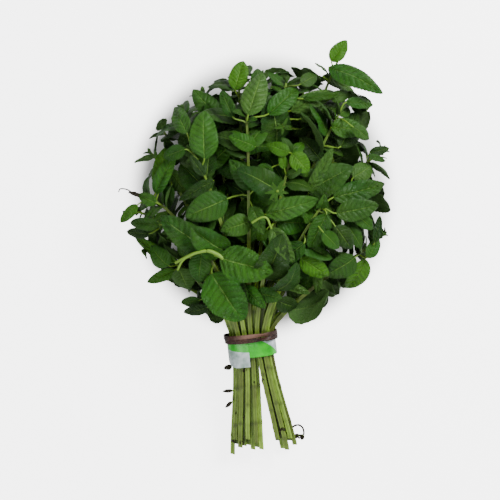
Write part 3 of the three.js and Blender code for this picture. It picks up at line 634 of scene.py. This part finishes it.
def withered(bx, by, tx, ty, width):
    """A dry leaf on the uppermost stem that passes under its base."""
    ends = [plan(bx, by), plan(tx, ty)]
    best = None
    for stem in stems:
        s = np.linspace(0.02, 1.98, 200)
        places = along(stem, s)
        far = np.hypot(places[:, 0] - ends[0][0], places[:, 1] - ends[0][1])
        i = int(np.argmin(far))
        score = far[i] * 2 - places[i, 2]
        if best is None or score < best[0]:
            best = (score, stem, s[i], places[i])
    stem, s, root = best[1:]
    base = np.array([ends[0][0], ends[0][1], root[2] + 1.5])
    tip = np.array([ends[1][0], ends[1][1], root[2] + 0.5])
    length = np.linalg.norm(tip - base)
    shape = dict(bend=draw(0.8, 1.7), fold=draw(0.3, 1.0), curl=draw(0.5, 1.0), twist=draw(-1.6, 1.6))
    leaf = make_leaf(stem, s, base, (tip - base) / length, np.array([0, 0, 1.0]), length, width * PIXEL, shape)
    leaf.fine, leaf.offset, leaf.ripple, leaf.waves, leaf.blunt, leaf.droop = False, 0.0, 1.0, 3, 0.1, 0.0
    leaf.tone, leaf.young, leaf.grey, leaf.dry, leaf.bud = 0.2, 0.0, 0.3, 1.0, False
    return leaf


def rosette(x, y, count):
    """A young shoot that opens upward on the head's face: narrow pale blades round one point."""
    stub = withered(x, y, x + 1, y, 3)
    middle = np.array([stub.base[0], stub.base[1], stub.root[2] + 11])
    for i in range(count):
        turn = i * 2.4 + draw(-0.3, 0.3)
        direction = unit(math.cos(turn), math.sin(turn), draw(0.2, 0.7))
        length = draw(6, 10)
        shape = dict(bend=draw(0.3, 0.9), fold=draw(0.2, 0.5), curl=0.1, twist=draw(-0.3, 0.3))
        leaf = make_leaf(stub.stem, stub.s, middle, direction, np.array([0, 0, 1.0]), length, length * 0.3, shape)
        leaf.fine, leaf.offset, leaf.ripple, leaf.waves, leaf.blunt, leaf.droop = False, 0.0, 0.2, 2, 0.2, 0.0
        leaf.tone, leaf.young, leaf.grey, leaf.dry, leaf.bud = 1.0, 0.4, 0.5, 0.0, True
        yield leaf


# Bare runs, each (stem number, the face leaf that one starts at, radii at its start and end in millimetres,
# whether it is dry, plan x and y of its points, and their heights over that leaf's base or the table):
# the pale shoot that arches over the lower leaves, a bent stalk on the face, and two brown tendrils.
RUNS = [
    (12, 0, 1.5, 1.1, 0, [(224, 259, 0), (217, 254, 1.5), (208, 251, 2), (196, 253, 1), (185, 258, -2), (176, 263, -6)]),
    (12, 0, 1.0, 0.8, 0, [(187, 257, -1.5), (182, 262, -3), (178, 270, -6)]),
    (5, 5, 0.9, 0.7, 0, [(252, 223, 1), (261, 218, 3.5), (267, 219, 3), (271, 229, 0.5)]),
    (28, None, 0.8, 0.6, 1, [(286, 437, 8), (292, 429, 10), (298, 426, 12), (303, 429, 10), (304, 436, 8), (299, 440, 7)]),
    (6, None, 0.6, 0.4, 1, [(146, 199, 44), (136, 195, 45), (128, 190, 44), (121, 189, 42), (119, 192, 40)]),
]


def laid_run(radius, end_radius, points):
    """A tube through points of the picture, on one smooth curve."""
    marks = np.array([plan(*point) for point in points])
    way = np.linspace(0, len(marks) - 1, 6 * len(marks))
    ways = np.gradient(marks, axis=0)
    first = np.minimum(way.astype(int), len(marks) - 2)
    smooth = np.array([run(marks[i], ways[i], marks[i + 1], ways[i + 1], w - i) for i, w in zip(first, way)])
    radii = radius + (end_radius - radius) * np.linspace(0, 1, len(way))
    return lie(tube(on_table(smooth), radii, STALK_SIDES)), len(way)


# ---------------------------------------------------------------------------------------------------------
# What a fresh mint plant is coloured like. Mottle is the uneven green of anything that grew, used by blades
# and stems alike.
def colour(red, green, blue):
    """A colour as a picture shows it, 0 to 255, for a shader."""
    def linear(c):
        c = c / 255
        return c / 12.92 if c <= 0.04045 else ((c + 0.055) / 1.055) ** 2.4

    return (linear(red), linear(green), linear(blue), 1.0)


def add_node(tree, kind, inputs=None, **settings):
    node = tree.nodes.new(kind)
    for name, value in settings.items():
        setattr(node, name, value)
    for key, value in (inputs or {}).items():
        if isinstance(value, bpy.types.NodeSocket):
            tree.links.new(value, node.inputs[key])
        else:
            node.inputs[key].default_value = value
    return node


def reckon(tree, operation, a, b=0.0, c=0.0, clamp=False):
    node = add_node(tree, "ShaderNodeMath", operation=operation, use_clamp=clamp)
    for i, value in enumerate((a, b, c)):
        if isinstance(value, bpy.types.NodeSocket):
            tree.links.new(value, node.inputs[i])
        else:
            node.inputs[i].default_value = value
    return node.outputs[0]


def blend_colours(tree, share, a, b, kind="MIX"):
    node = add_node(tree, "ShaderNodeMix", data_type="RGBA", blend_type=kind)
    for i, value in ((0, share), (6, a), (7, b)):
        if isinstance(value, bpy.types.NodeSocket):
            tree.links.new(value, node.inputs[i])
        else:
            node.inputs[i].default_value = value
    return node.outputs[2]


def attribute(tree, name):
    return add_node(tree, "ShaderNodeAttribute", attribute_name=name).outputs["Fac"]


mottle = bpy.data.node_groups.new("mottle", "ShaderNodeTree")
mottle.interface.new_socket(name="Scale", in_out="INPUT", socket_type="NodeSocketFloat")
mottle.interface.new_socket(name="Patches", in_out="OUTPUT", socket_type="NodeSocketFloat")
mottle.interface.new_socket(name="Grain", in_out="OUTPUT", socket_type="NodeSocketFloat")
group_in = mottle.nodes.new("NodeGroupInput")
group_out = mottle.nodes.new("NodeGroupOutput")
places = add_node(mottle, "ShaderNodeTexCoord").outputs["Object"]
patches = add_node(mottle, "ShaderNodeTexNoise",
                   {"Vector": places, "Scale": group_in.outputs["Scale"], "Detail": 3.0, "Roughness": 0.55})
fine_scale = reckon(mottle, "MULTIPLY", group_in.outputs["Scale"], 9.0)
grain = add_node(mottle, "ShaderNodeTexNoise",
                 {"Vector": places, "Scale": fine_scale, "Detail": 2.0, "Roughness": 0.6})
mottle.links.new(patches.outputs["Fac"], group_out.inputs["Patches"])
mottle.links.new(grain.outputs["Fac"], group_out.inputs["Grain"])


def new_material(name):
    material = bpy.data.materials.new(name)
    material.use_nodes = True
    tree = material.node_tree
    shader = tree.nodes["Principled BSDF"]
    return material, tree, shader


def mottled(tree, scale):
    node = tree.nodes.new("ShaderNodeGroup")
    node.node_tree = mottle
    node.inputs["Scale"].default_value = scale
    return node.outputs["Patches"], node.outputs["Grain"]


# Blades: dark to bright green by leaf, lighter along the veins, with painted shade darkening the sunken furrows beside
# them, paler and greyer underneath, with a fine net of small veins between the side veins and a soft, slightly waxy
# gloss.
blade_material, tree, shader = new_material("mint_blade")
uv = add_node(tree, "ShaderNodeUVMap", uv_map="UVMap").outputs["UV"]
split = add_node(tree, "ShaderNodeSeparateXYZ", {"Vector": uv})
side = reckon(tree, "ABSOLUTE", reckon(tree, "MULTIPLY_ADD", split.outputs["X"], 2.0, -1.0))
run_along = split.outputs["Y"]
sweep = reckon(tree, "MULTIPLY", reckon(tree, "POWER", side, 1.25), VEIN_SWEEP)
sweep = reckon(tree, "MULTIPLY", sweep, reckon(tree, "MULTIPLY_ADD", run_along, -0.35, 1.0))
phase = reckon(tree, "DIVIDE", reckon(tree, "SUBTRACT", reckon(tree, "SUBTRACT", run_along, VEIN_START), sweep),
               VEIN_SPACING)
phase = reckon(tree, "ADD", phase, attribute(tree, "offset"))
to_vein = reckon(tree, "PINGPONG", phase, 0.5)
vein_width = reckon(tree, "MULTIPLY_ADD", side, -0.045, 0.085)
side_veins = reckon(tree, "SUBTRACT", 1.0, reckon(tree, "DIVIDE", to_vein, vein_width), clamp=True)
side_veins = reckon(tree, "MULTIPLY", side_veins, reckon(tree, "LESS_THAN", side, 0.93))
midrib = reckon(tree, "SUBTRACT", 1.0, reckon(tree, "DIVIDE", side, 0.05), clamp=True)
midrib = reckon(tree, "MULTIPLY", midrib, reckon(tree, "MULTIPLY_ADD", run_along, -2.6, 2.6, clamp=True))
veins = reckon(tree, "MAXIMUM", reckon(tree, "MULTIPLY", side_veins, 0.55), midrib)
net = add_node(tree, "ShaderNodeTexVoronoi",
               {"Vector": add_node(tree, "ShaderNodeMapping", {"Vector": uv, "Scale": (11.0, 26.0, 1.0)}).outputs[0],
                "Scale": 1.0}, feature="DISTANCE_TO_EDGE", voronoi_dimensions="2D")
net_line = reckon(tree, "SUBTRACT", 1.0, reckon(tree, "DIVIDE", net.outputs["Distance"], 0.14), clamp=True)
patches, grain = mottled(tree, 60.0)
tone = attribute(tree, "tone")
green = blend_colours(tree, tone, colour(5, 36, 3), colour(36, 92, 12))
green = blend_colours(tree, attribute(tree, "young"), green, colour(60, 110, 10))
green = blend_colours(tree, attribute(tree, "grey"), green, colour(58, 92, 34))
green = blend_colours(tree, reckon(tree, "MULTIPLY_ADD", patches, 1.8, -0.6, clamp=True), green,
                      blend_colours(tree, 0.4, green, colour(64, 92, 14)))
green = blend_colours(tree, reckon(tree, "MULTIPLY", net_line, 0.14), green, colour(72, 112, 34))
# Painted shade: darker in a band along each sunken side vein.
painted_furrow_shade = reckon(tree, "SUBTRACT", 1.0, reckon(tree, "DIVIDE", to_vein, 0.2), clamp=True)
green = blend_colours(tree, reckon(tree, "MULTIPLY", painted_furrow_shade, 0.3), green, colour(8, 34, 4))
green = blend_colours(tree, reckon(tree, "MULTIPLY", side_veins, 0.16), green, colour(104, 146, 52))
green = blend_colours(tree, reckon(tree, "MULTIPLY", midrib, 0.55), green, colour(126, 164, 76))
under = blend_colours(tree, 0.5, green, colour(84, 116, 62))
green = blend_colours(tree, attribute(tree, "under"), green, under)
green = blend_colours(tree, reckon(tree, "MULTIPLY", attribute(tree, "dry"), 0.9), green, colour(40, 28, 14))
tree.links.new(green, shader.inputs["Base Color"])
tree.links.new(reckon(tree, "MULTIPLY_ADD", grain, 0.2, 0.38), shader.inputs["Roughness"])
height = reckon(tree, "MULTIPLY_ADD", net_line, -0.5, reckon(tree, "MULTIPLY", grain, 0.35))
height = reckon(tree, "MULTIPLY_ADD", veins, -0.7, height)
bump = add_node(tree, "ShaderNodeBump", {"Height": height, "Strength": 0.8, "Distance": 0.001})
tree.links.new(bump.outputs["Normal"], shader.inputs["Normal"])
shader.inputs["Specular IOR Level"].default_value = 0.22

# Stems and stalks: yellow-green, darker and browner towards the joints and on the older stems, darker along the middle
# of each flat as painted shade in its groove, streaked along their length, with a pale cut core.
stem_material, tree, shader = new_material("mint_stem")
uv = add_node(tree, "ShaderNodeUVMap", uv_map="UVMap").outputs["UV"]
streak_place = add_node(tree, "ShaderNodeMapping", {"Vector": uv, "Scale": (9.0, 1.1, 1.0)}).outputs[0]
streaks = add_node(tree, "ShaderNodeTexNoise", {"Vector": streak_place, "Scale": 1.0, "Detail": 4.0,
                                                "Roughness": 0.6}, noise_dimensions="2D").outputs["Fac"]
patches, grain = mottled(tree, 45.0)
green = blend_colours(tree, attribute(tree, "tone"), colour(74, 98, 20), colour(140, 178, 60))
green = blend_colours(tree, attribute(tree, "young"), green, colour(88, 128, 38))
# Painted shade: darker along the groove in the middle of each flat.
green = blend_colours(tree, reckon(tree, "MULTIPLY", attribute(tree, "groove"), 0.5), green, colour(44, 60, 12))
streak_share = reckon(tree, "MULTIPLY_ADD", streaks, 2.6, -1.0, clamp=True)
green = blend_colours(tree, reckon(tree, "MULTIPLY", streak_share, 0.45), green, colour(36, 48, 8))
brown = reckon(tree, "MULTIPLY", attribute(tree, "aged"), reckon(tree, "MULTIPLY_ADD", patches, 2.0, -0.5, clamp=True))
green = blend_colours(tree, reckon(tree, "MULTIPLY", brown, 0.75), green, colour(56, 40, 22))
green = blend_colours(tree, reckon(tree, "MULTIPLY", attribute(tree, "joint"), 0.55), green, colour(34, 30, 10))
green = blend_colours(tree, attribute(tree, "core"), green, colour(176, 190, 110))
tree.links.new(green, shader.inputs["Base Color"])
tree.links.new(reckon(tree, "MULTIPLY_ADD", streaks, 0.25, 0.34), shader.inputs["Roughness"])
height = reckon(tree, "MULTIPLY_ADD", streaks, 0.7, reckon(tree, "MULTIPLY", grain, 0.3))
bump = add_node(tree, "ShaderNodeBump", {"Height": height, "Strength": 0.45, "Distance": 0.0004})
tree.links.new(bump.outputs["Normal"], shader.inputs["Normal"])
shader.inputs["Specular IOR Level"].default_value = 0.3

# ---------------------------------------------------------------------------------------------------------
# Each sprig is one piece: its stem, its stalks and blades and its bud, grown together.
MARKS = ("tone", "young", "grey", "under", "dry", "offset", "aged", "joint", "core", "groove")


def new_piece(name, parts):
    """One mesh of several parts, each (places, faces, uv, material index, {mark: value or values})."""
    places, faces, uvs, kinds = [], [], [], []
    marks = {mark: [] for mark in MARKS}
    first = 0
    for part_places, part_faces, part_uv, kind, part_marks in parts:
        places.append(part_places)
        faces.extend([[i + first for i in face] for face in part_faces])
        uvs.append(part_uv)
        kinds.extend([kind] * len(part_faces))
        for mark in MARKS:
            marks[mark].append(np.zeros(len(part_places)) + part_marks.get(mark, 0.0))
        first += len(part_places)
    mesh = bpy.data.meshes.new(name)
    mesh.from_pydata(np.concatenate(places) / 1000, [], faces)
    uvs = np.concatenate(uvs)
    corners = np.zeros(len(mesh.loops), int)
    mesh.loops.foreach_get("vertex_index", corners)
    mesh.uv_layers.new(name="UVMap").uv.foreach_set("vector", uvs[corners].astype(np.float32).ravel())
    mesh.polygons.foreach_set("material_index", kinds)
    for mark in MARKS:
        values = np.concatenate(marks[mark]).astype(np.float32)
        if values.any():
            mesh.attributes.new(mark, "FLOAT", "POINT").data.foreach_set("value", values)
    piece = bpy.data.objects.new(name, mesh)
    bpy.context.scene.collection.objects.link(piece)
    bpy.ops.object.select_all(action="DESELECT")
    piece.select_set(True)
    bpy.context.view_layer.objects.active = piece
    bpy.ops.object.shade_smooth_by_angle(angle=math.radians(50))
    return piece


def blade_part(leaf):
    blade = blade_of(leaf)
    uv = np.stack([(blade.u + 1) / 2, blade.v], 1)
    marks = dict(tone=leaf.tone, young=leaf.young, grey=leaf.grey, dry=leaf.dry, offset=leaf.offset,
                 under=(blade.layer < 0) * 1.0)
    return laid_blade(leaf), blade.faces, uv, 0, marks


def stalk_part(leaf):
    places = laid_stalk(leaf)
    turns = np.append(np.tile(np.arange(STALK_SIDES) / STALK_SIDES, STALK_RINGS), [0, 0])
    way = np.append(np.repeat(np.linspace(0, 1, STALK_RINGS), STALK_SIDES), [0, 1])
    marks = dict(tone=0.6, young=0.5, joint=(1 - way) ** 4)
    return places, STALK_FACES, np.stack([turns, way], 1), 1, marks


def stem_part(stem):
    places, near, core = laid_stem(stem)
    uv = np.stack([bar_turn / (2 * math.pi) + 0.5, bar_length * 30 + 7 * stem.tone], 1)
    marks = dict(tone=stem.tone, aged=stem.aged, joint=near, core=core * 1.0, groove=np.cos(2 * bar_turn) ** 4,
                 young=np.clip(bar_length * 2 - 1.2, 0, 1))
    return places, bar_faces, uv, 1, marks


for stem in stems:
    stem.tone = draw(0, 1)
    stem.aged = draw(0, 1) ** 2
    first_joint = draw(6, LOW_JOINTS)
    stem.joints = [first_joint + LOW_JOINTS * i for i in range(4)]
for leaf in leaves:
    leaf.fine = leaf.face
    leaf.offset = draw(-0.3, 0.3)
    leaf.ripple = draw(0.2, 1.0)
    leaf.waves = draw(2, 4)
    leaf.blunt = draw(0.2, 0.36)
    leaf.droop = draw(-0.3, 1)
    # A drawn tone, lower for hidden leaves and lower still on deeper layers of the pile: partly painted shade.
    leaf.tone = draw(0.35, 0.9) if leaf.face else draw(0.1, 0.8) * (1 - 0.13 * leaf.stem.row)
    leaf.young = max(0, draw(-0.5, 0.25)) + max(0, 1 - leaf.length / 26) * 0.35
    leaf.grey = max(0, draw(-0.6, 0.45))
    leaf.dry = 0.0
# Listed leaves take their kind's colour; the dark ones' low tone is partly painted shade.
for kind, wanted in (("grey", DULL_LEAVES), ("young", FRESH_LEAVES), ("dark", SHADE_DARKENED_LEAVES)):
    for leaf in leaves:
        if leaf.face and leaf.entry in wanted:
            leaf.grey, leaf.young = draw(0.7, 0.95) * (kind == "grey"), draw(0.55, 0.9) * (kind == "young")
            leaf.tone = 0.1 if kind == "dark" else 0.8
dry_leaves = [withered(*entry) for entry in WITHERED] + list(rosette(277, 192, 9)) + list(rosette(283, 128, 6))
face_leaf = {leaf.entry: leaf for leaf in leaves if leaf.face}
for number, stem in enumerate(stems, 1):
    parts = [stem_part(stem)]
    for leaf in [leaf for leaf in leaves if leaf.stem is stem]:
        parts += [blade_part(leaf), stalk_part(leaf)]
    for leaf in [leaf for leaf in dry_leaves if leaf.stem is stem]:
        parts += [blade_part(leaf), stalk_part(leaf)]
    for owner, leaf_entry, radius, end_radius, dry, points in RUNS:
        if owner == number:
            level = 0 if leaf_entry is None else face_leaf[leaf_entry].base[2]
            places, rings = laid_run(radius, end_radius, [(x, y, z + level) for x, y, z in points])
            turns = np.append(np.tile(np.arange(STALK_SIDES) / STALK_SIDES, rings), [0, 0])
            way = np.append(np.repeat(np.linspace(0, 3, rings), STALK_SIDES), [0, 3])
            marks = dict(tone=1.0 - 0.8 * dry, young=0.6 * (1 - dry), dry=dry)
            parts.append((places, tube_faces(rings, STALK_SIDES), np.stack([turns, way], 1), 1 - dry, marks))
    for leaf in bud_leaves(stem) if stem.row < 3 else ():
        leaf.fine, leaf.offset, leaf.ripple, leaf.waves = False, 0.0, 0.1, 2
        leaf.blunt, leaf.droop = 0.3, 0.0
        leaf.tone, leaf.young, leaf.grey, leaf.dry = 0.8, draw(0.35, 0.8), 0.3, 0.0
        parts.append(blade_part(leaf))
    sprig = new_piece(f"sprig_{number:02d}", parts)
    sprig.data.materials.append(blade_material)
    sprig.data.materials.append(stem_material)
    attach(sprig, "root")
    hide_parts(f"mint_stem_{number:02d}")

# ---------------------------------------------------------------------------------------------------------
# The rubber band: one closed loop of dark rubber with pale specks painted as dust and highlight, and a painted
# highlight on top where it crosses, stretched twice round the bundle, so that two strands lie side by side and cross
# once on top.
BAND_TILT = 0.12  # it climbs to the right
BAND_RADII = (17.8, 13.9)
BAND_SHIFT = 1.4  # it sits this far above the middle of the tie
BAND_SQUARENESS = 2.9
BAND_STRAND = (1.62, 0.6)
STRANDS_APART = 1.6
CROSSING = 1.25
BAND_STEPS = 264
BAND_SECTION = 12


def ring_out(angle, radii):
    power = 2 - 2 / BAND_SQUARENESS
    c, s = np.cos(angle), np.sin(angle)
    x = np.sign(c) * np.abs(c) ** power / radii[0]
    z = np.sign(s) * np.abs(s) ** power / radii[1]
    return normalized(np.stack([x, np.zeros_like(x), z], 1))


def ring_place(angle, radii, shift):
    """A place on the ring round the bundle, shifted along the stems from the band's middle."""
    power = 2 / BAND_SQUARENESS
    c, s = np.cos(angle), np.sin(angle)
    x = np.sign(c) * np.abs(c) ** power * radii[0]
    z = np.sign(s) * np.abs(s) ** power * radii[1]
    return TIE + np.stack([x, x * BAND_TILT - z * TIE_CLIMB, z], 1) + STEMWISE * np.asarray(shift)[:, None]


bpy.ops.mesh.primitive_torus_add(major_segments=BAND_STEPS, minor_segments=BAND_SECTION,
                                 major_radius=1, minor_radius=0.25)
band = bpy.context.object
band.name = band.data.name = "band"
rest = np.array([vertex.co for vertex in band.data.vertices])
major = np.arange(len(rest)) // BAND_SECTION
minor = (np.arange(len(rest)) % BAND_SECTION) * 2 * math.pi / BAND_SECTION
turn = major / BAND_STEPS * 4 * math.pi
half = (turn - CROSSING) / 2
bite = np.abs(np.sin(half)) ** 5 * np.sign(np.sin(half))
apart = np.cos(half) * np.abs(np.cos(half) + 1e-9) ** -0.45
out = ring_out(turn, BAND_RADII)
twist = 0.9 * np.exp(-((half / 0.16) ** 2)) - 0.9 * np.exp(-(((half - math.pi) / 0.16) ** 2))
x = np.sign(np.cos(minor)) * np.abs(np.cos(minor)) ** 0.5 * BAND_STRAND[0]
y = np.sign(np.sin(minor)) * np.abs(np.sin(minor)) ** 0.5 * BAND_STRAND[1]
x, y = x * np.cos(twist) - y * np.sin(twist), x * np.sin(twist) + y * np.cos(twist)
centre = ring_place(turn, BAND_RADII, BAND_SHIFT + apart * STRANDS_APART) + out * (0.85 + 0.85 * bite)[:, None]
laid = centre + STEMWISE * x[:, None] + out * y[:, None] - BUNCH_MIDDLE
laid[:, 2] = np.maximum(laid[:, 2], 0)
band.data.vertices.foreach_set("co", (laid / 1000).astype(np.float32).ravel())
band.data.update()
bpy.ops.object.mode_set(mode="EDIT")
bpy.ops.mesh.select_all(action="SELECT")
bpy.ops.mesh.normals_make_consistent(inside=False)
bpy.ops.object.mode_set(mode="OBJECT")
bpy.ops.object.shade_smooth_by_angle(angle=math.radians(60))
# A painted highlight on the crossing, on the strands' outer side.
painted_crossing_highlight = np.exp(-(((half - 0.12) / 0.2) ** 2)) * np.clip(np.sin(minor) + 0.4, 0, 1)
band.data.attributes.new("painted_crossing_highlight", "FLOAT", "POINT").data.foreach_set("value", painted_crossing_highlight.astype(np.float32))
rubber_material, tree, shader = new_material("band_rubber")
patches, grain = mottled(tree, 90.0)
brown = blend_colours(tree, reckon(tree, "MULTIPLY_ADD", patches, 2.4, -0.8, clamp=True), colour(17, 6, 4),
                      colour(52, 22, 15))
# Pale specks, partly dust and partly painted highlight.
brown = blend_colours(tree, reckon(tree, "MULTIPLY_ADD", grain, 0.8, -0.35, clamp=True), brown, colour(130, 96, 84))
brown = blend_colours(tree, reckon(tree, "MULTIPLY", attribute(tree, "painted_crossing_highlight"), 0.6), brown, colour(142, 108, 92))
tree.links.new(brown, shader.inputs["Base Color"])
tree.links.new(reckon(tree, "MULTIPLY_ADD", grain, 0.3, 0.4), shader.inputs["Roughness"])
shader.inputs["Specular IOR Level"].default_value = 0.25
bump = add_node(tree, "ShaderNodeBump", {"Height": grain, "Strength": 0.35, "Distance": 0.0003})
tree.links.new(bump.outputs["Normal"], shader.inputs["Normal"])
band.data.materials.clear()
band.data.materials.append(rubber_material)
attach(band, "root")
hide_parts("rubber_band")

# ---------------------------------------------------------------------------------------------------------
# The label: a glossy printed paper strip wrapped once round the bundle under the band and lapped over its
# own start on the left, where its outer end is cut square and hangs a little lower. It carries no lettering.
LABEL_WIDTHS = (11, 17.6)
LABEL_RADII = (17, 12.7)
LABEL_LAP = 0.95
LABEL_ANGLES = (2.2, -4.66)
LABEL_TOP = -1.7
LABEL_STEPS = 150
LABEL_ROWS = 14
LABEL_SHEET = 0.3


def ease(x, low, high):
    t = np.clip((x - low) / (high - low), 0, 1)
    return t * t * (3 - 2 * t)


bpy.ops.mesh.primitive_grid_add(x_subdivisions=LABEL_STEPS, y_subdivisions=LABEL_ROWS, size=2)
label = bpy.context.object
label.name = label.data.name = "wrap_label"
bpy.ops.object.mode_set(mode="EDIT")
bpy.ops.mesh.select_all(action="SELECT")
bpy.ops.mesh.extrude_region_move(TRANSFORM_OT_translate={"value": (0, 0, 1)})
bpy.ops.object.mode_set(mode="OBJECT")
rest = np.array([vertex.co for vertex in label.data.vertices])
share, across, layer = (rest[:, 0] + 1) / 2, (rest[:, 1] + 1) / 2, rest[:, 2]
angle = LABEL_ANGLES[0] + (LABEL_ANGLES[1] - LABEL_ANGLES[0]) * share
lap = LABEL_LAP * ease(share, 0.79, 0.89)
down = (LABEL_WIDTHS[0] + (LABEL_WIDTHS[1] - LABEL_WIDTHS[0]) * ease(share, 0.77, 0.92)) * (1 - across)
shift = LABEL_TOP - down
wave = 0.12 * np.sin(share * 47) * (1 - across) + 0.08 * np.sin(share * 23 + 4 * across)
out = ring_out(angle, LABEL_RADII)
laid = ring_place(angle, LABEL_RADII, shift) + out * (lap + LABEL_SHEET * layer + wave + 0.15)[:, None]
laid = laid - BUNCH_MIDDLE
laid[:, 2] = np.maximum(laid[:, 2], 0)
label.data.vertices.foreach_set("co", (laid / 1000).astype(np.float32).ravel())
label.data.update()
bpy.ops.object.mode_set(mode="EDIT")
bpy.ops.mesh.select_all(action="SELECT")
bpy.ops.mesh.normals_make_consistent(inside=False)
bpy.ops.object.mode_set(mode="OBJECT")
bpy.ops.object.shade_smooth_by_angle(angle=math.radians(50))
corners = np.zeros(len(label.data.loops), int)
label.data.loops.foreach_get("vertex_index", corners)
label_uv = label.data.uv_layers.active.uv
label_uv.foreach_set("vector", np.stack([share, down / 20], 1)[corners].astype(np.float32).ravel())
label_material, tree, shader = new_material("label_paper")
uv = add_node(tree, "ShaderNodeUVMap", uv_map=label.data.uv_layers.active.name).outputs["UV"]
split = add_node(tree, "ShaderNodeSeparateXYZ", {"Vector": uv})
patches, grain = mottled(tree, 150.0)
patches = reckon(tree, "MULTIPLY_ADD", patches, 2.6, -0.8, clamp=True)
print_green = blend_colours(tree, patches, colour(14, 136, 6), colour(40, 176, 22))
silver = blend_colours(tree, patches, colour(104, 132, 118), colour(196, 204, 210))
round_share, down = split.outputs["X"], split.outputs["Y"]
on_flap = reckon(tree, "MULTIPLY", reckon(tree, "GREATER_THAN", round_share, 0.72), reckon(
    tree, "GREATER_THAN", down, reckon(tree, "MULTIPLY_ADD", reckon(tree, "POWER", reckon(
        tree, "MULTIPLY_ADD", round_share, 4.2, -3.2, clamp=True), 0.8), 0.28, 0.07)))
corner = reckon(tree, "MULTIPLY", reckon(tree, "LESS_THAN", round_share, 0.42), reckon(
    tree, "LESS_THAN", down, reckon(tree, "MULTIPLY_ADD", round_share, 3.26, -0.46)))
ink = blend_colours(tree, reckon(tree, "MAXIMUM", on_flap, corner), print_green, silver)
tree.links.new(ink, shader.inputs["Base Color"])
tree.links.new(reckon(tree, "MULTIPLY_ADD", grain, 0.15, 0.22), shader.inputs["Roughness"])
bump = add_node(tree, "ShaderNodeBump", {"Height": patches, "Strength": 0.3, "Distance": 0.0005})
tree.links.new(bump.outputs["Normal"], shader.inputs["Normal"])
label.data.materials.clear()
label.data.materials.append(label_material)
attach(label, "root")
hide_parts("label")

# ---------------------------------------------------------------------------------------------------------
# The table: a white board, lit softly from the upper right, with the camera straight above it. It glows for the eye,
# but not within an ellipse round the head, which is left dim as a painted shadow.
bpy.ops.mesh.primitive_plane_add(size=6)
floor = bpy.context.object
floor.name = "table_top"
table_material, tree, shader = new_material("table_white")
shader.inputs["Base Color"].default_value = (0.8, 0.8, 0.8, 1)
shader.inputs["Roughness"].default_value = 0.9
shader.inputs["Emission Color"].default_value = (1, 1, 1, 1)
seen = add_node(tree, "ShaderNodeLightPath").outputs["Is Camera Ray"]  # bright to the eye, not to the leaves
head = (HEAD_MIDDLE - BUNCH_MIDDLE) / 1000
round_head = add_node(tree, "ShaderNodeMapping", {
    "Vector": add_node(tree, "ShaderNodeTexCoord").outputs["Object"], "Location": (-head[0], -head[1] + 0.004, 0)})
round_head = add_node(tree, "ShaderNodeMapping", {
    "Vector": round_head.outputs[0], "Scale": (1000 / HEAD_RADII[0], 1000 / HEAD_RADII[1], 1)})
far = add_node(tree, "ShaderNodeVectorMath", {0: round_head.outputs[0]}, operation="LENGTH").outputs["Value"]
# The glow fades out towards the head, leaving a painted shadow round and under it.
glow_past_painted_shadow = add_node(tree, "ShaderNodeMapRange", {"Value": far, "From Min": 0.9, "From Max": 1.1},
                      interpolation_type="SMOOTHSTEP").outputs["Result"]
tree.links.new(reckon(tree, "MULTIPLY", reckon(tree, "MULTIPLY", seen, glow_past_painted_shadow), 4.0),
               shader.inputs["Emission Strength"])
floor.data.materials.append(table_material)


def add_light(name, place, size, power, aim=(0, 0, 0.03)):
    bpy.ops.object.light_add(type="AREA", location=place)
    light = bpy.context.object
    light.name = name
    light.data.size = size
    light.data.energy = power
    way = np.array(place) - np.array(aim)
    light.rotation_euler = (math.atan2(math.hypot(way[0], way[1]), way[2]), 0, math.atan2(way[0], -way[1]))
    return light


add_light("soft_key", (0.75, 0.6, 0.85), 0.5, 30)
add_light("soft_fill", (-0.4, -0.8, 1.0), 0.9, 11)
world = bpy.data.worlds.new("white_room")
bpy.context.scene.world = world
world.use_nodes = True
world.node_tree.nodes["Background"].inputs["Color"].default_value = (1, 1, 1, 1)
world.node_tree.nodes["Background"].inputs["Strength"].default_value = 0.45

CAMERA_HEIGHT = 3.0
bpy.ops.object.camera_add(location=(-0.00457, -0.00111, CAMERA_HEIGHT + 0.03), rotation=(0, 0, 0))
camera = bpy.context.object
camera.data.lens = 36 * CAMERA_HEIGHT / (500 * PIXEL / 1000)
camera.data.clip_end = 20
bpy.context.scene.camera = camera
